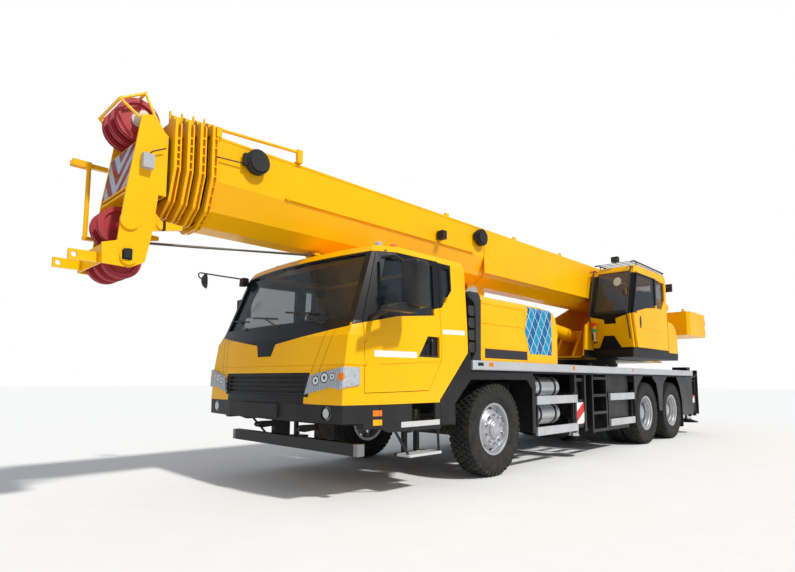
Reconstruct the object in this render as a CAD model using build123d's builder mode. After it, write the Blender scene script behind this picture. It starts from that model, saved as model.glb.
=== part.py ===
from build123d import *
import os
from math import cos, sin, radians

# Three-axle truck crane with a five-section telescopic boom.
# X runs forward, Y to the left, Z up; the ground is Z = 0 and X = 0 is halfway
# along the whole machine. Sizes are in millimetres.

os.makedirs("parts", exist_ok=True)

# ---- running gear -------------------------------------------------------------
WHEEL_R = 540.0            # tyre radius
TYRE_W = 290.0             # tyre section width
RIM_R = 286.0              # seat of the tyre bead
AXLE_X = (2200.0, -2533.0, -3883.0)
FRONT_WHEEL_Y = 1062.0     # middle of a front tyre
DUAL_Y = (786.0, 1101.0)   # middles of the two tyres of a dual wheel
DUAL_TYRE_W = 282.0
KINGPIN_Y = 830.0
KINGPIN_R = 30.0
HUB_R = 120.0

# ---- carrier ------------------------------------------------------------------
HALF_W = 1250.0            # half the width of the carrier
RAIL_Y = (345.0, 425.0)    # inner and outer side of a frame rail
RAIL_Z = (700.0, 1080.0)
FRAME_X = (-5560.0, 4050.0)
DECK_Z = (1192.0, 1225.0)
DECK_X = (-5600.0, 640.0)
DECK_RAIL_Z = (1217.0, 1322.0)
DECK_RAIL_X = (-5220.0, 2717.0)

# ---- driver's cab -------------------------------------------------------------
CAB_WALL = 60.0
CAB_FRONT_WALL = 70.0
CAB_FLOOR_Z = 900.0
CAB_DOOR_GAP = 6.0
GLASS_T = 6.0
# height, rear x, x the side turns in at, corner x, middle front x, half width behind,
# half width in front
CAB_SECTIONS = (
    (877.0, 2790.0, 4100.0, 4520.0, 4605.0, 1250.0, 1174.0),
    (1200.0, 2790.0, 4110.0, 4500.0, 4585.0, 1250.0, 1172.0),
    (1500.0, 2790.0, 4140.0, 4450.0, 4540.0, 1250.0, 1170.0),
    (1640.0, 2790.0, 4125.0, 4372.0, 4485.0, 1245.0, 1150.0),
    (2330.0, 2787.0, 3870.0, 4100.0, 4215.0, 1205.0, 1095.0),
    (2405.0, 2795.0, 3820.0, 4050.0, 4150.0, 1165.0, 1050.0),
    (2440.0, 2830.0, 3730.0, 3960.0, 4030.0, 1080.0, 960.0),
)

# ---- superstructure -----------------------------------------------------------
SLEW_X = -2750.0
SLEW_R = 620.0
FLOOR_Z = 1500.0           # top of the slewing ring, underside of the turntable
PIVOT = (-4650.0, 2900.0)  # boom foot pin, x and z
CYL_FOOT = (-2350.0, 1950.0)
CYL_HEAD = (1050.0, 2270.0)
SIDE_PLATE_Y = (425.0, 455.0)

WINCHES = (("main", -5560.0, 2830.0), ("auxiliary", -6080.0, 2830.0))

# ---- boom ---------------------------------------------------------------------
# section, half width, top z, bottom z, wall, rear x, front x, collar half width,
# collar top z, collar bottom z
BOOM_SECTIONS = (
    ("boom_base", 385.0, 3295.0, 2500.0, 9.0, -4250.0, 5420.0, 425.0, 3365.0, 2462.0),
    ("boom_section_2", 345.0, 3262.0, 2545.0, 9.0, -4100.0, 5525.0, 408.0, 3352.0, 2476.0),
    ("boom_section_3", 308.0, 3229.0, 2588.0, 8.0, -3950.0, 5630.0, 391.0, 3339.0, 2490.0),
    ("boom_section_4", 271.0, 3196.0, 2631.0, 8.0, -3800.0, 5735.0, 374.0, 3326.0, 2504.0),
    ("boom_section_5", 234.0, 3163.0, 2674.0, 8.0, -3650.0, 5765.0, 0.0, 0.0, 0.0),
)
COLLAR_T = 24.0
COLLAR_BACK = 52.0         # face of the second flange behind the mouth
COLLAR_RIBS = 5            # ribs on a side, and on half the top
BAND_X = (880.0, 1110.0)
CABLE_REELS = ((4970.0, 3140.0), (1330.0, 3120.0))
WORK_LAMP = (2160.0, 2970.0)


# ---- drawing helpers, each used inside a part block ---------------------------
def block(x, y, z, mode=Mode.ADD):
    """A box from three (low, high) pairs."""
    with Locations(((x[0] + x[1]) / 2, (y[0] + y[1]) / 2, (z[0] + z[1]) / 2)):
        Box(abs(x[1] - x[0]), abs(y[1] - y[0]), abs(z[1] - z[0]), mode=mode)


def plate(plane, points, amount, mode=Mode.ADD):
    """A flat plate of the given outline on a plane."""
    with BuildSketch(plane) as outline:
        with BuildLine():
            Polyline(*points, close=True)
        make_face()
    extrude(outline.sketch, amount=amount, mode=mode)


def plate_y(points, y, mode=Mode.ADD):
    """A plate drawn in x, z and running from y[0] to y[1]."""
    plate(Plane.XZ.offset(-y[0]), points, y[0] - y[1], mode)


def plate_x(points, x, mode=Mode.ADD):
    """A plate drawn in y, z and running from x[0] to x[1]."""
    plate(Plane.YZ.offset(x[0]), points, x[1] - x[0], mode)


def plate_z(points, z, mode=Mode.ADD):
    """A plate drawn in x, y and running from z[0] to z[1]."""
    plate(Plane.XY.offset(z[0]), points, z[1] - z[0], mode)


def disc(plane, at, r, amount, mode=Mode.ADD):
    """A round bar standing on a plane."""
    with BuildSketch(plane) as outline:
        with Locations(at):
            Circle(r)
    extrude(outline.sketch, amount=amount, mode=mode)


def bar_y(x, z, r, y, mode=Mode.ADD):
    """A round bar along Y."""
    disc(Plane.XZ.offset(-y[0]), (x, z), r, y[0] - y[1], mode)


def bar_x(y, z, r, x, mode=Mode.ADD):
    """A round bar along X."""
    disc(Plane.YZ.offset(x[0]), (y, z), r, x[1] - x[0], mode)


def bar_z(x, y, r, z, mode=Mode.ADD):
    """A round bar along Z."""
    disc(Plane.XY.offset(z[0]), (x, y), r, z[1] - z[0], mode)


def strut(p, q, r, mode=Mode.ADD):
    """A round bar from point p to point q."""
    run = Vector(*q) - Vector(*p)
    disc(Plane(origin=p, z_dir=run), (0, 0), r, run.length, mode)


def ring_of(points, axis, mode=Mode.ADD):
    """A body of revolution from an outline in x and radius."""
    with BuildSketch(Plane.XY) as outline:
        with BuildLine():
            Polyline(*points, close=True)
        make_face()
    revolve(outline.sketch, axis=axis, mode=mode)


def ring_y(x, z, outer, inner, y, mode=Mode.ADD):
    """A flat ring round the Y direction."""
    with BuildSketch(Plane.XZ.offset(-y[0])) as outline:
        with Locations((x, z)):
            Circle(outer)
            Circle(inner, mode=Mode.SUBTRACT)
    extrude(outline.sketch, amount=y[0] - y[1], mode=mode)


def rail(points, r):
    """Round bar bent through the points, with a ball at each bend."""
    for p, q in zip(points, points[1:]):
        strut(p, q, r)
    for p in points[1:-1]:
        with Locations(p):
            Sphere(r * 1.02)


def both(low, high):
    """The pair in rising order, whichever side it is on."""
    return (min(low, high), max(low, high))


def save(part, name):
    part.label = name
    export_step(part, "parts/" + name + ".step")


# ================================================================ wheels
def tyre(width, middle=0.0):
    """A tyre round the X axis, open at the bead, its middle at x = middle."""
    half = width / 2
    outline = (
        (half * 0.72, RIM_R + 6),
        (half * 0.97, RIM_R + 60),
        (half, RIM_R + 120),
        (half * 0.93, WHEEL_R - 32),
        (half * 0.74, WHEEL_R),
        (-half * 0.74, WHEEL_R),
        (-half * 0.93, WHEEL_R - 32),
        (-half, RIM_R + 120),
        (-half * 0.97, RIM_R + 60),
        (-half * 0.72, RIM_R + 6),
    )
    ring_of([(middle + x, r) for x, r in outline], Axis.X)


for side, sign in (("left", 1), ("right", -1)):
    outward = Location((AXLE_X[0], sign * FRONT_WHEEL_Y, WHEEL_R), (0, 0, sign * 90))

    with BuildPart() as front_wheel:
        tyre(TYRE_W)
        ring_of(
            (
                (-118, RIM_R - 26),
                (-118, RIM_R + 14),
                (-108, RIM_R + 14),
                (-104, RIM_R),
                (104, RIM_R),
                (108, RIM_R + 14),
                (118, RIM_R + 14),
                (118, RIM_R - 14),
                (94, RIM_R - 30),
                (74, 190),
                (108, 168),
                (112, 128),
                (140, 124),
                (150, 60),
                (150, 0),
                (60, 0),
                (60, 180),
                (50, RIM_R - 40),
                (-100, RIM_R - 26),
            ),
            Axis.X,
        )
        with BuildSketch(Plane.YZ.offset(30)):
            with PolarLocations(216, 10):
                SlotOverall(50, 28, rotation=90)
        extrude(amount=120, mode=Mode.SUBTRACT)
        with BuildSketch(Plane.YZ.offset(100)):
            with PolarLocations(148, 10):
                Circle(15)
        extrude(amount=36)
    save(outward * front_wheel.part, "front_wheel_" + side)

    # stub axle and kingpin carrier inside the rim
    with BuildPart() as knuckle:
        bar_z(AXLE_X[0], sign * KINGPIN_Y, 58, (440, 475))
        bar_z(AXLE_X[0], sign * KINGPIN_Y, 58, (605, 640))
        bar_z(AXLE_X[0], sign * KINGPIN_Y, KINGPIN_R, (475, 605))
        plate_z(
            (
                (AXLE_X[0] - 58, sign * KINGPIN_Y),
                (AXLE_X[0] + 58, sign * KINGPIN_Y),
                (AXLE_X[0] + 58, sign * (KINGPIN_Y + 95)),
                (AXLE_X[0] - 58, sign * (KINGPIN_Y + 95)),
            ),
            (440, 475),
        )
        plate_z(
            (
                (AXLE_X[0] - 58, sign * KINGPIN_Y),
                (AXLE_X[0] + 58, sign * KINGPIN_Y),
                (AXLE_X[0] + 58, sign * (KINGPIN_Y + 95)),
                (AXLE_X[0] - 58, sign * (KINGPIN_Y + 95)),
            ),
            (605, 640),
        )
        block(
            (AXLE_X[0] - 58, AXLE_X[0] + 58),
            (sign * (KINGPIN_Y + 68), sign * (KINGPIN_Y + 95)),
            (440, 640),
        )
        bar_y(AXLE_X[0], WHEEL_R, 95, (sign * (KINGPIN_Y + 90), sign * (KINGPIN_Y + 110)))
        bar_y(AXLE_X[0], WHEEL_R, 45, (sign * (KINGPIN_Y + 100), sign * (FRONT_WHEEL_Y + 58.5)))
        block(
            (AXLE_X[0] - 230, AXLE_X[0] - 40),
            (sign * (KINGPIN_Y + 30), sign * (KINGPIN_Y + 80)),
            (445, 470),
        )
    save(knuckle.part, "steering_knuckle_" + side)

    for axle, number in ((1, "2"), (2, "3")):
        inboard = Location((AXLE_X[axle], 0, WHEEL_R), (0, 0, sign * 90))

        # two tyres, and two deep-dished rims bolted back to back on the hub
        with BuildPart() as twin_wheels:
            for y in DUAL_Y:
                tyre(DUAL_TYRE_W, y)
            mid = (DUAL_Y[0] + DUAL_Y[1]) / 2
            for y, out in ((DUAL_Y[0], -1), (DUAL_Y[1], 1)):
                ring_of(
                    (
                        (y + out * 118, RIM_R - 14),
                        (y + out * 118, RIM_R + 14),
                        (y + out * 108, RIM_R + 14),
                        (y + out * 104, RIM_R),
                        (y - out * 104, RIM_R),
                        (y - out * 108, RIM_R + 14),
                        (y - out * 118, RIM_R + 14),
                        (y - out * 118, RIM_R - 24),
                        (mid + out * 12, 225),
                        (mid, 225),
                        (mid, 0),
                        (mid + out * 14, 0),
                        (mid + out * 14, 200),
                        (mid + out * 24, 212),
                        (y - out * 98, RIM_R - 18),
                    ),
                    Axis.X,
                )
            with BuildSketch(Plane.YZ.offset(mid - 40)):
                with PolarLocations(185, 10):
                    Circle(16)
            extrude(amount=80, mode=Mode.SUBTRACT)
            ring_of(
                ((mid, 0), (mid, 150), (mid + 34, 150), (mid + 44, 118), (mid + 150, 112),
                 (mid + 168, 80), (mid + 172, 0)),
                Axis.X,
            )
            with BuildSketch(Plane.YZ.offset(mid + 10)):
                with PolarLocations(135, 10):
                    Circle(14)
            extrude(amount=50)
        save(inboard * twin_wheels.part, "twin_wheels_%s_%s" % (number, side))


# ================================================================ carrier frame
OUTRIGGER_X = (0.0, -5370.0)
BEAM_W = 150.0             # one outrigger beam, across x
BEAM_Z = (560.0, 800.0)
BEAM_OFFSET = 90.0         # a beam's middle from the middle of its pair
HOUSING_WALL = 12.0
JACK_Y = 1045.0
SLEEVE_R = 76.0
JACK_Z = (420.0, 1150.0)
COLUMN_X = (128.0, 180.0)  # a post of the beam's end frame, from the pair's middle
COLUMN_Y = (1140.0, 1205.0)
COLUMN_Z = (365.0, 1184.0)
LIFT_RING_X = (-590.0, -1190.0)

with BuildPart() as chassis:
    for s in (1, -1):
        block((FRAME_X[0], FRAME_X[1] - 900), (s * RAIL_Y[0], s * RAIL_Y[1]), RAIL_Z)
        plate_y(
            ((3150, 700), (3150, 1080), (3500, 860), (4050, 860), (4050, 640), (3500, 600)),
            (min(s * RAIL_Y[0], s * RAIL_Y[1]), max(s * RAIL_Y[0], s * RAIL_Y[1])),
        )
    for x in (-5500, -4700, -3208, -1900, -900, 700, 2450):
        block((x - 50, x + 50), (-RAIL_Y[0], RAIL_Y[0]), (820, 1080))
    block((3950, 4050), (-RAIL_Y[0], RAIL_Y[0]), (640, 860))
    # deck over the frame, with the pedestal of the slewing ring
    block(DECK_X, (-HALF_W + 28, HALF_W - 28), DECK_Z)
    for s in (1, -1):
        block((DECK_X[1], 2700), (s * 1060, s * (HALF_W - 28)), DECK_Z)
        block((640, 680), (s * RAIL_Y[1], s * 1010), (810, 860))
        block((1040, 1080), (s * RAIL_Y[1], s * 1010), (810, 860))
    block((-5600, -5562), (-1230, 1230), (780, 880))
    block((DECK_X[0], DECK_X[1]), (-RAIL_Y[1], RAIL_Y[1]), (1080, DECK_Z[0]))
    bar_z(SLEW_X, 0, SLEW_R - 40, (DECK_Z[1], 1380))
    # boxes the outrigger beams slide in, front and rear
    for x in OUTRIGGER_X:
        block((x - 192, x + 192), (-1000 + 45, 1000 - 45), (535, 825))
        block((x - 192, x + 192), (-RAIL_Y[1], RAIL_Y[1]), (825, 1080))
        for s in (1, -1):
            block(
                (x + s * BEAM_OFFSET - BEAM_W / 2 - 8, x + s * BEAM_OFFSET + BEAM_W / 2 + 8),
                (-1100, 1100),
                (BEAM_Z[0] - 0.35, BEAM_Z[1] + 8),
                mode=Mode.SUBTRACT,
            )
            block((x + 186, x + 192), (s * 700, s * 955), (825, DECK_Z[0]))
            block((x - 192, x - 186), (s * 700, s * 955), (825, DECK_Z[0]))
    # lifting rings on the deck edge
    for s in (1, -1):
        for x in LIFT_RING_X:
            ring_y(x, DECK_Z[1] + 62, 78, 44, both(s * 1085, s * 1115))
            block((x - 60, x + 60), (s * 1070, s * 1130), (DECK_Z[1] - 2, DECK_Z[1] + 14))
        # tow hooks under the bumper
        plate_y(
            ((4000, 650), (4000, 612), (4330, 584), (4400, 596), (4424, 622), (4400, 650),
             (4330, 654)),
            both(s * 352, s * 392),
        )
        bar_y(4386, 621, 16, both(s * 340, s * 400), mode=Mode.SUBTRACT)
        # posts at the rear end of the deck, each with its lamp bracket
        block((-5640, -5600), (s * 1150, s * 1235), (400, 1340))
        block((-5640, -5500), (s * 1150, s * 1235), (1225, 1262))
        block((-5700, -5630), (s * 1020, s * 1220), (560, 600))
        block((-5670, -5630), (s * 840, s * 1180), (600, 640))
    # spare pad and hose box on the rear of the deck
    block((-5330, -5090), (900, 1180), (DECK_Z[1] - 3, 1400))
    # brackets of the guard rails
    for s in (1, -1):
        block((3980, 4180), (s * 350, s * 420), (430, 660))
        for x in (250, 1250, -960, -1900):
            block((x - 15, x + 15), (s * 1185, s * 1215), (402, 900))
            block((x - 15, x + 15), (s * 425, s * 1215), (900, 940))
save(chassis.part, "chassis_frame")

# low support the lowered boom comes down on, behind the driver's cab
with BuildPart() as rest:
    for s in (1, -1):
        block((2560, 2660), (s * 300, s * 380), (RAIL_Z[1], 2390))
        block((2540, 2680), (s * 290, s * 400), (RAIL_Z[1], RAIL_Z[1] + 20))
    block((2560, 2660), (-380, 380), (2390, 2440))
    block((2540, 2680), (-200, 200), (2440, 2470))
save(rest.part, "boom_rest")

with BuildPart() as deck_rails:
    for s in (1, -1):
        block(DECK_RAIL_X, (s * 1222, s * 1262), (DECK_RAIL_Z[0] + 9, DECK_RAIL_Z[1]))
        block(DECK_RAIL_X, (s * 1222, s * 1256), (DECK_RAIL_Z[0], DECK_RAIL_Z[1]))
save(deck_rails.part, "deck_side_rails")

# ================================================================ axles
with BuildPart() as axles:
    x = AXLE_X[0]
    plate_x(
        ((-790, 482), (-740, 482), (-660, 430), (660, 430), (740, 482), (790, 482), (790, 598), (740, 598), (660, 540),
         (-660, 540), (-740, 598), (-790, 598)),
        (x - 40, x + 40),
    )
    for s in (1, -1):
        bar_z(x, s * KINGPIN_Y, 50, (482, 598))
        block((x - 40, x + 40), (s * 760, s * KINGPIN_Y), (482, 598))
        bar_z(x, s * KINGPIN_Y, KINGPIN_R + 1, (470, 610), mode=Mode.SUBTRACT)
        block((x - 40, x + 40), (s * 440, s * 520), (535, 620))
        block((x - 600, x + 600), (s * 440, s * 520), (620, 660))
        block((x - 640, x - 560), (s * 425, s * 520), (640, 760))
        block((x + 560, x + 640), (s * 425, s * 520), (640, 760))
    for x in AXLE_X[1:]:
        bar_y(x, WHEEL_R, 95, (-928, 928))
        with Locations((x, 0, WHEEL_R)):
            Sphere(225)
        for s in (1, -1):
            block((x - 60, x + 60), (s * 430, s * 530), (600, 720))
            bar_y(x, WHEEL_R, 195, (min(s * 700, s * 880), max(s * 700, s * 880)))
    for s in (1, -1):
        block((AXLE_X[2], AXLE_X[1]), (s * 430, s * 530), (660, 700))
        block((-3300, -3116), (s * 425, s * 530), (690, 900))
    strut((AXLE_X[1] + 200, 0, 560), (300, 0, 465), 42)
    strut((300, 0, 465), (1310, 0, 620), 42)
save(axles.part, "axles_and_springs")

# ================================================================ driver's cab
def cab_form(inset, front, low, high, mode=Mode.ADD):
    """The cab's outer form, or the same set in by a wall, between two heights."""
    with BuildPart(mode=Mode.PRIVATE) as form:
        outlines = []
        for z, rear, turn, corner, middle, side, nose in CAB_SECTIONS:
            with BuildSketch(Plane.XY.offset(z)) as outline:
                with BuildLine():
                    Polyline(
                        (corner - front, nose - inset),
                        (turn - front / 2, side - inset),
                        (rear + inset, side - inset),
                        (rear + inset, -side + inset),
                        (turn - front / 2, -side + inset),
                        (corner - front, -nose + inset),
                    )
                    ThreePointArc(
                        (corner - front, -nose + inset),
                        (middle - front, 0),
                        (corner - front, nose - inset),
                    )
                make_face()
            outlines.append(outline.sketch.face())
        loft(outlines, ruled=True)
        block((2000, 5200), (-1700, 1700), (low, high), mode=Mode.INTERSECT)
    add(form.part, mode=mode)


HINGE = (4284.0, 1211.0)
HINGE_Z = (1262.0, 1480.0)
DOOR_OUTLINE = (
    (4290, 985),
    (4290, 1640),
    (4060, 2330),
    (3250, 2340),
    (3250, 1290),
    (3452, 1000),
)
DOOR_OPENING = (
    (4296, 979),
    (4296, 1641),
    (4064, 2336),
    (3244, 2346),
    (3244, 1288),
    (3450, 994),
)
DOOR_WINDOW = (
    (4170, 1680),
    (3990, 2270),
    (3340, 2280),
    (3340, 1760),
)
REAR_QUARTER = (
    (3195, 1890),
    (3195, 2290),
    (3060, 2285),
    (3060, 2060),
    (3140, 1920),
)
GRILLE = (
    (-704, 955),
    (-756, 1160),
    (756, 1160),
    (704, 955),
)
GRILLE_GAPS = (975.0, 1019.0, 1063.0, 1107.0)
FOG_LAMP = (985.0, 802.0)
HEADLAMP = (
    (722, 965),
    (775, 1140),
    (1190, 1215),
    (1262, 1205),
    (1235, 1068),
    (1160, 1015),
    (1044, 1032),
)
# x, y, z of the foot, radius, height
ROOF_LAMPS = (
    (3870.0, 950.0, 2448.3, 38.0, 40.0),
    (3910.0, -760.0, 2448.3, 38.0, 40.0),
    (3690.0, 990.0, 2448.3, 42.0, 42.0),
)
HANDLE_POCKET = (
    (3600, 1327),
    (3462, 1534),
    (3276, 1542),
    (3276, 1327),
)
WINDSCREEN = (
    (-1085, 1662),
    (-1035, 2312),
    (1035, 2312),
    (1085, 1662),
)

with BuildPart() as cab_shell:
    cab_form(0, 0, 877, 2440)
    cab_form(CAB_WALL, CAB_FRONT_WALL, CAB_FLOOR_Z + 40, 2390, mode=Mode.SUBTRACT)
    # the lower rear corner slants over the front wheel
    plate_y(
        ((2700, 800), (2700, 1480), (2790, 1397), (3275, 900), (3275, 800)),
        (-1400, 1400),
        mode=Mode.SUBTRACT,
    )
    plate_y(
        ((2790, 1397), (3275, 900), (3360, 900), (3360, 940), (2850, 1470), (2790, 1470)),
        (-1190, 1190),
    )
    plate_x(WINDSCREEN, (3900, 4700), mode=Mode.SUBTRACT)
    for low, high in ((1100, 1400), (-1400, -1100)):
        plate_y(DOOR_OPENING, (low, high), mode=Mode.SUBTRACT)
        plate_y(REAR_QUARTER, (low, high), mode=Mode.SUBTRACT)
    # recess of the grille between the lamps
    with BuildPart(mode=Mode.PRIVATE) as recess:
        cab_form(-5, -5, 940, 1240)
        cab_form(34, 34, 930, 1250, mode=Mode.SUBTRACT)
        plate_x(GRILLE, (3900, 4700), mode=Mode.INTERSECT)
    add(recess.part, mode=Mode.SUBTRACT)
    # panel joint that runs round below the middle of the doors
    with BuildPart(mode=Mode.PRIVATE) as groove:
        cab_form(-5, -5, 1228, 1235)
        cab_form(5, 5, 1220, 1240, mode=Mode.SUBTRACT)
        block((4270, 4700), (-1300, 1300), (1220, 1240), mode=Mode.INTERSECT)
    add(groove.part, mode=Mode.SUBTRACT)
    # engine tunnel between the seats
    block((2800, 3640), (-490, 490), (930, 1170))
    block((2700, 3580), (-440, 440), (800, 1120), mode=Mode.SUBTRACT)
    # lower half of each door hinge
    for s in (1, -1):
        for z in HINGE_Z:
            bar_z(HINGE[0], s * HINGE[1], 12, (z - 30, z - 0.35))
            plate_z(
                ((HINGE[0], s * 1199), (4320, s * 1170), (4320, s * 1201), (HINGE[0], s * 1223)),
                (z - 30, z - 0.35),
            )
    # mirror on its long arm at the far corner
    strut((4050, -1080, 2345), (4395, -1555, 2440), 12)
    bar_z(4395, -1555, 10, (2400, 2435))
    with Locations((4395, -1555, 2440)):
        Sphere(17)
    with Locations((4395, -1555, 2335)):
        Sphere(85)
save(cab_shell.part, "driver_cab_shell")

with BuildPart() as cab_glass:
    for window, turned in ((WINDSCREEN, False), (REAR_QUARTER, True)):
        with BuildPart(mode=Mode.PRIVATE) as pane:
            cab_form(20, 24, 1600, 2400)
            cab_form(20 + GLASS_T, 24 + GLASS_T, 1500, 2420, mode=Mode.SUBTRACT)
            if turned:
                plate_y(window, (-1400, 1400), mode=Mode.INTERSECT)
            else:
                plate_x(window, (3900, 4700), mode=Mode.INTERSECT)
        add(pane.part)
save(cab_glass.part, "driver_cab_windows")

for side, sign in (("left", 1), ("right", -1)):
    near = (1100, 1400) if sign > 0 else (-1400, -1100)
    with BuildPart() as door:
        cab_form(0, 0, 900, 2420)
        cab_form(CAB_WALL, CAB_FRONT_WALL, 860, 2430, mode=Mode.SUBTRACT)
        plate_y(DOOR_OUTLINE, near, mode=Mode.INTERSECT)
        plate_y(DOOR_WINDOW, near, mode=Mode.SUBTRACT)
        # pocket of the handle, and the joint under it
        plate_y(HANDLE_POCKET, both(sign * 1222, sign * 1300), mode=Mode.SUBTRACT)
        block((3420, 3460), (sign * 1215, sign * 1247), (1340, 1500))
        plate_y(
            ((3240, 1286), (4300, 1228), (4300, 1235), (3240, 1293)),
            both(sign * 1244, sign * 1300),
            mode=Mode.SUBTRACT,
        )
        # recess of the handle
        plate_y(
            ((3310, 1330), (3310, 1500), (3450, 1500), (3500, 1330)),
            (1225, 1300) if sign > 0 else (-1300, -1225),
            mode=Mode.SUBTRACT,
        )
        for z in HINGE_Z:
            bar_z(HINGE[0], sign * HINGE[1], 16, (z - 36, z), mode=Mode.SUBTRACT)
            block((HINGE[0], 4300), (sign * 1140, sign * 1260), (z - 36, z), mode=Mode.SUBTRACT)
            bar_z(HINGE[0], sign * HINGE[1], 12, (z, z + 60))
        if side == "left":
            # tall mirror on two arms, the lower one a wedge
            plate_z(((3800, 1420), (3830, 1600), (4050, 1640), (4110, 1470)), (1760, 2190))
            plate_y(
                ((4340, 1700), (4330, 1745), (4170, 1790), (3960, 1800), (3900, 1770), (3950, 1705)),
                (1440, 1530),
            )
            strut((4210, 1180, 1660), (4240, 1470, 1725), 24)
            strut((4050, 1200, 2262), (4060, 1510, 2170), 14)
        else:
            # small square mirror close to the pillar
            plate_z(((3930, -1330), (3945, -1450), (4075, -1440), (4090, -1330)), (1890, 2110))
            strut((4170, -1190, 1720), (4040, -1390, 1900), 12)
    save(door.part, "driver_cab_door_" + side)
    with BuildPart() as door_glass:
        cab_form(20, 24, 1600, 2400)
        cab_form(20 + GLASS_T, 24 + GLASS_T, 1500, 2420, mode=Mode.SUBTRACT)
        plate_y(DOOR_WINDOW, near, mode=Mode.INTERSECT)
    save(door_glass.part, "driver_cab_door_window_" + side)

with BuildPart() as cab_seats:
    for y in (-760, 760):
        block((3100, 3620), (y - 240, y + 240), (1260, 1400))
        block((3040, 3170), (y - 240, y + 240), (1400, 1980))
        block((3380, 3600), (y - 160, y + 160), (940, 1260))
save(cab_seats.part, "driver_cab_seats")

with BuildPart() as cab_fittings:
    cab_form(CAB_WALL, CAB_FRONT_WALL, 1180, 1600)
    block((4130, 4600), (-1060, 1060), (1180, 1600), mode=Mode.INTERSECT)
    block((4060, 4130), (480, 1040), (1380, 1600))
    strut((4120, 760, 1450), (3880, 760, 1612), 28)
    with BuildSketch(Plane(origin=(3880, 760, 1612), z_dir=(-0.83, 0, 0.56))):
        Circle(225)
        Circle(195, mode=Mode.SUBTRACT)
        Rectangle(400, 36)
    extrude(amount=26)
save(cab_fittings.part, "driver_cab_dashboard")

# black lower front, grille, bumper and entrance steps
with BuildPart() as bumper:
    plate_z(
        (
            (3700, 1250), (4100, 1250), (4516, 1176), (4596, 600), (4614, 0),
            (4596, -600), (4516, -1176), (4100, -1250), (3700, -1250),
            (3700, -1160), (4080, -1160), (4420, -1098), (4490, -560), (4500, 0),
            (4490, 560), (4420, 1098), (4080, 1160), (3700, 1160),
        ),
        (660, 877),
    )
    block((4500, 4636), (-330, 330), (740, 868))
    # the front's underside steps up between the skirts
    block((4300, 4700), (-1300, 1300), (640, 715), mode=Mode.SUBTRACT)
    for s in (1, -1):
        block((3900, 4280), (s * 345, s * 425), (600, 860), mode=Mode.SUBTRACT)
        # side skirt, open over the upper step
        plate_y(
            ((4130, 877), (4130, 664), (4010, 620), (3262, 612), (3262, 877), (3350, 877),
             (3350, 700), (3945, 700), (3990, 877)),
            both(s * 1222, s * HALF_W),
        )
        # upper step with its tread, and the hanging lower one
        block((3340, 3960), (s * 1010, s * HALF_W), (655, 682))
        block((3340, 3960), (s * 1232, s * HALF_W), (682, 705))
        block((3220, 3700), (s * 1010, s * 1222), (360, 385))
        block((3380, 3420), (s * 1010, s * 1060), (385, 660))
        block((3560, 3600), (s * 1010, s * 1060), (385, 660))
        strut((3930, s * 1236, 640), (3690, s * 1200, 372), 13)
        strut((3300, s * 1236, 630), (3235, s * 1200, 372), 13)
        block((3690, 3740), (s * 1010, s * 1240), (600, 872))
        block((3300, 3740), (s * 425, s * 1060), (640, 680))
        # pocket of the fog lamp
        bar_x(s * FOG_LAMP[0], FOG_LAMP[1], 64, (4450, 4700), mode=Mode.SUBTRACT)
    # slatted grille between the lamps, set into the cab's front
    with BuildPart(mode=Mode.PRIVATE) as grille:
        cab_form(8, 8, 940, 1240)
        cab_form(33.7, 33.7, 930, 1250, mode=Mode.SUBTRACT)
        plate_x(
            ((-703, 955.4), (-755.6, 1159.6), (755.6, 1159.6), (703, 955.4)),
            (3900, 4700),
            mode=Mode.INTERSECT,
        )
        for z in GRILLE_GAPS:
            with BuildPart(mode=Mode.PRIVATE) as gap:
                cab_form(0, 0, z, z + 26)
                cab_form(27, 27, z - 5, z + 31, mode=Mode.SUBTRACT)
                block((3900, 4700), (-680, 680), (z, z + 26), mode=Mode.INTERSECT)
            add(gap.part, mode=Mode.SUBTRACT)
    add(grille.part)
save(bumper.part, "front_bumper_and_steps")

with BuildPart() as lamps:
    with BuildPart(mode=Mode.PRIVATE) as front:
        cab_form(-14, -22, 880, 1500)
        cab_form(0, 0, 860, 1520, mode=Mode.SUBTRACT)
        plate_x(
            HEADLAMP,
            (4350, 4700),
            mode=Mode.INTERSECT,
        )
    add(front.part)
    add(front.part.mirror(Plane.XZ))
    # a domed reflector lens and a round one set into each headlamp's face
    for s in (1, -1):
        block((-5700, -5670), (s * 860, s * 1160), (620, 760))
        bar_x(s * FOG_LAMP[0], FOG_LAMP[1], 63.7, (4450.3, 4536))
        bar_x(s * FOG_LAMP[0], FOG_LAMP[1], 44, (4536, 4546))
    # dome lamps and beacon on the roof's front edge
    for x, y, z, r, h in ROOF_LAMPS:
        bar_z(x, y, r + 6, (z - 8, z + 6))
        bar_z(x, y, r, (z + 6, z + h * 0.6))
        with BuildSketch(Plane.XY.offset(z + h * 0.6)) as dome:
            with Locations((x, y)):
                Circle(r)
        extrude(dome.sketch, amount=h * 0.4, taper=45)
save(lamps.part, "road_lamps")

with BuildPart() as guards:
    block((4180, 4267), (-1097, 1097), (406, 518))
    for s in (1, -1):
        for x, z in (((190, 1320), (796, 903)), ((190, 1320), (402, 508)),
                     ((-1935, -950), (800, 908)), ((-1935, -950), (402, 508))):
            block(x, (s * 1215, s * 1250), z)
save(guards.part, "guard_rails")


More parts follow.
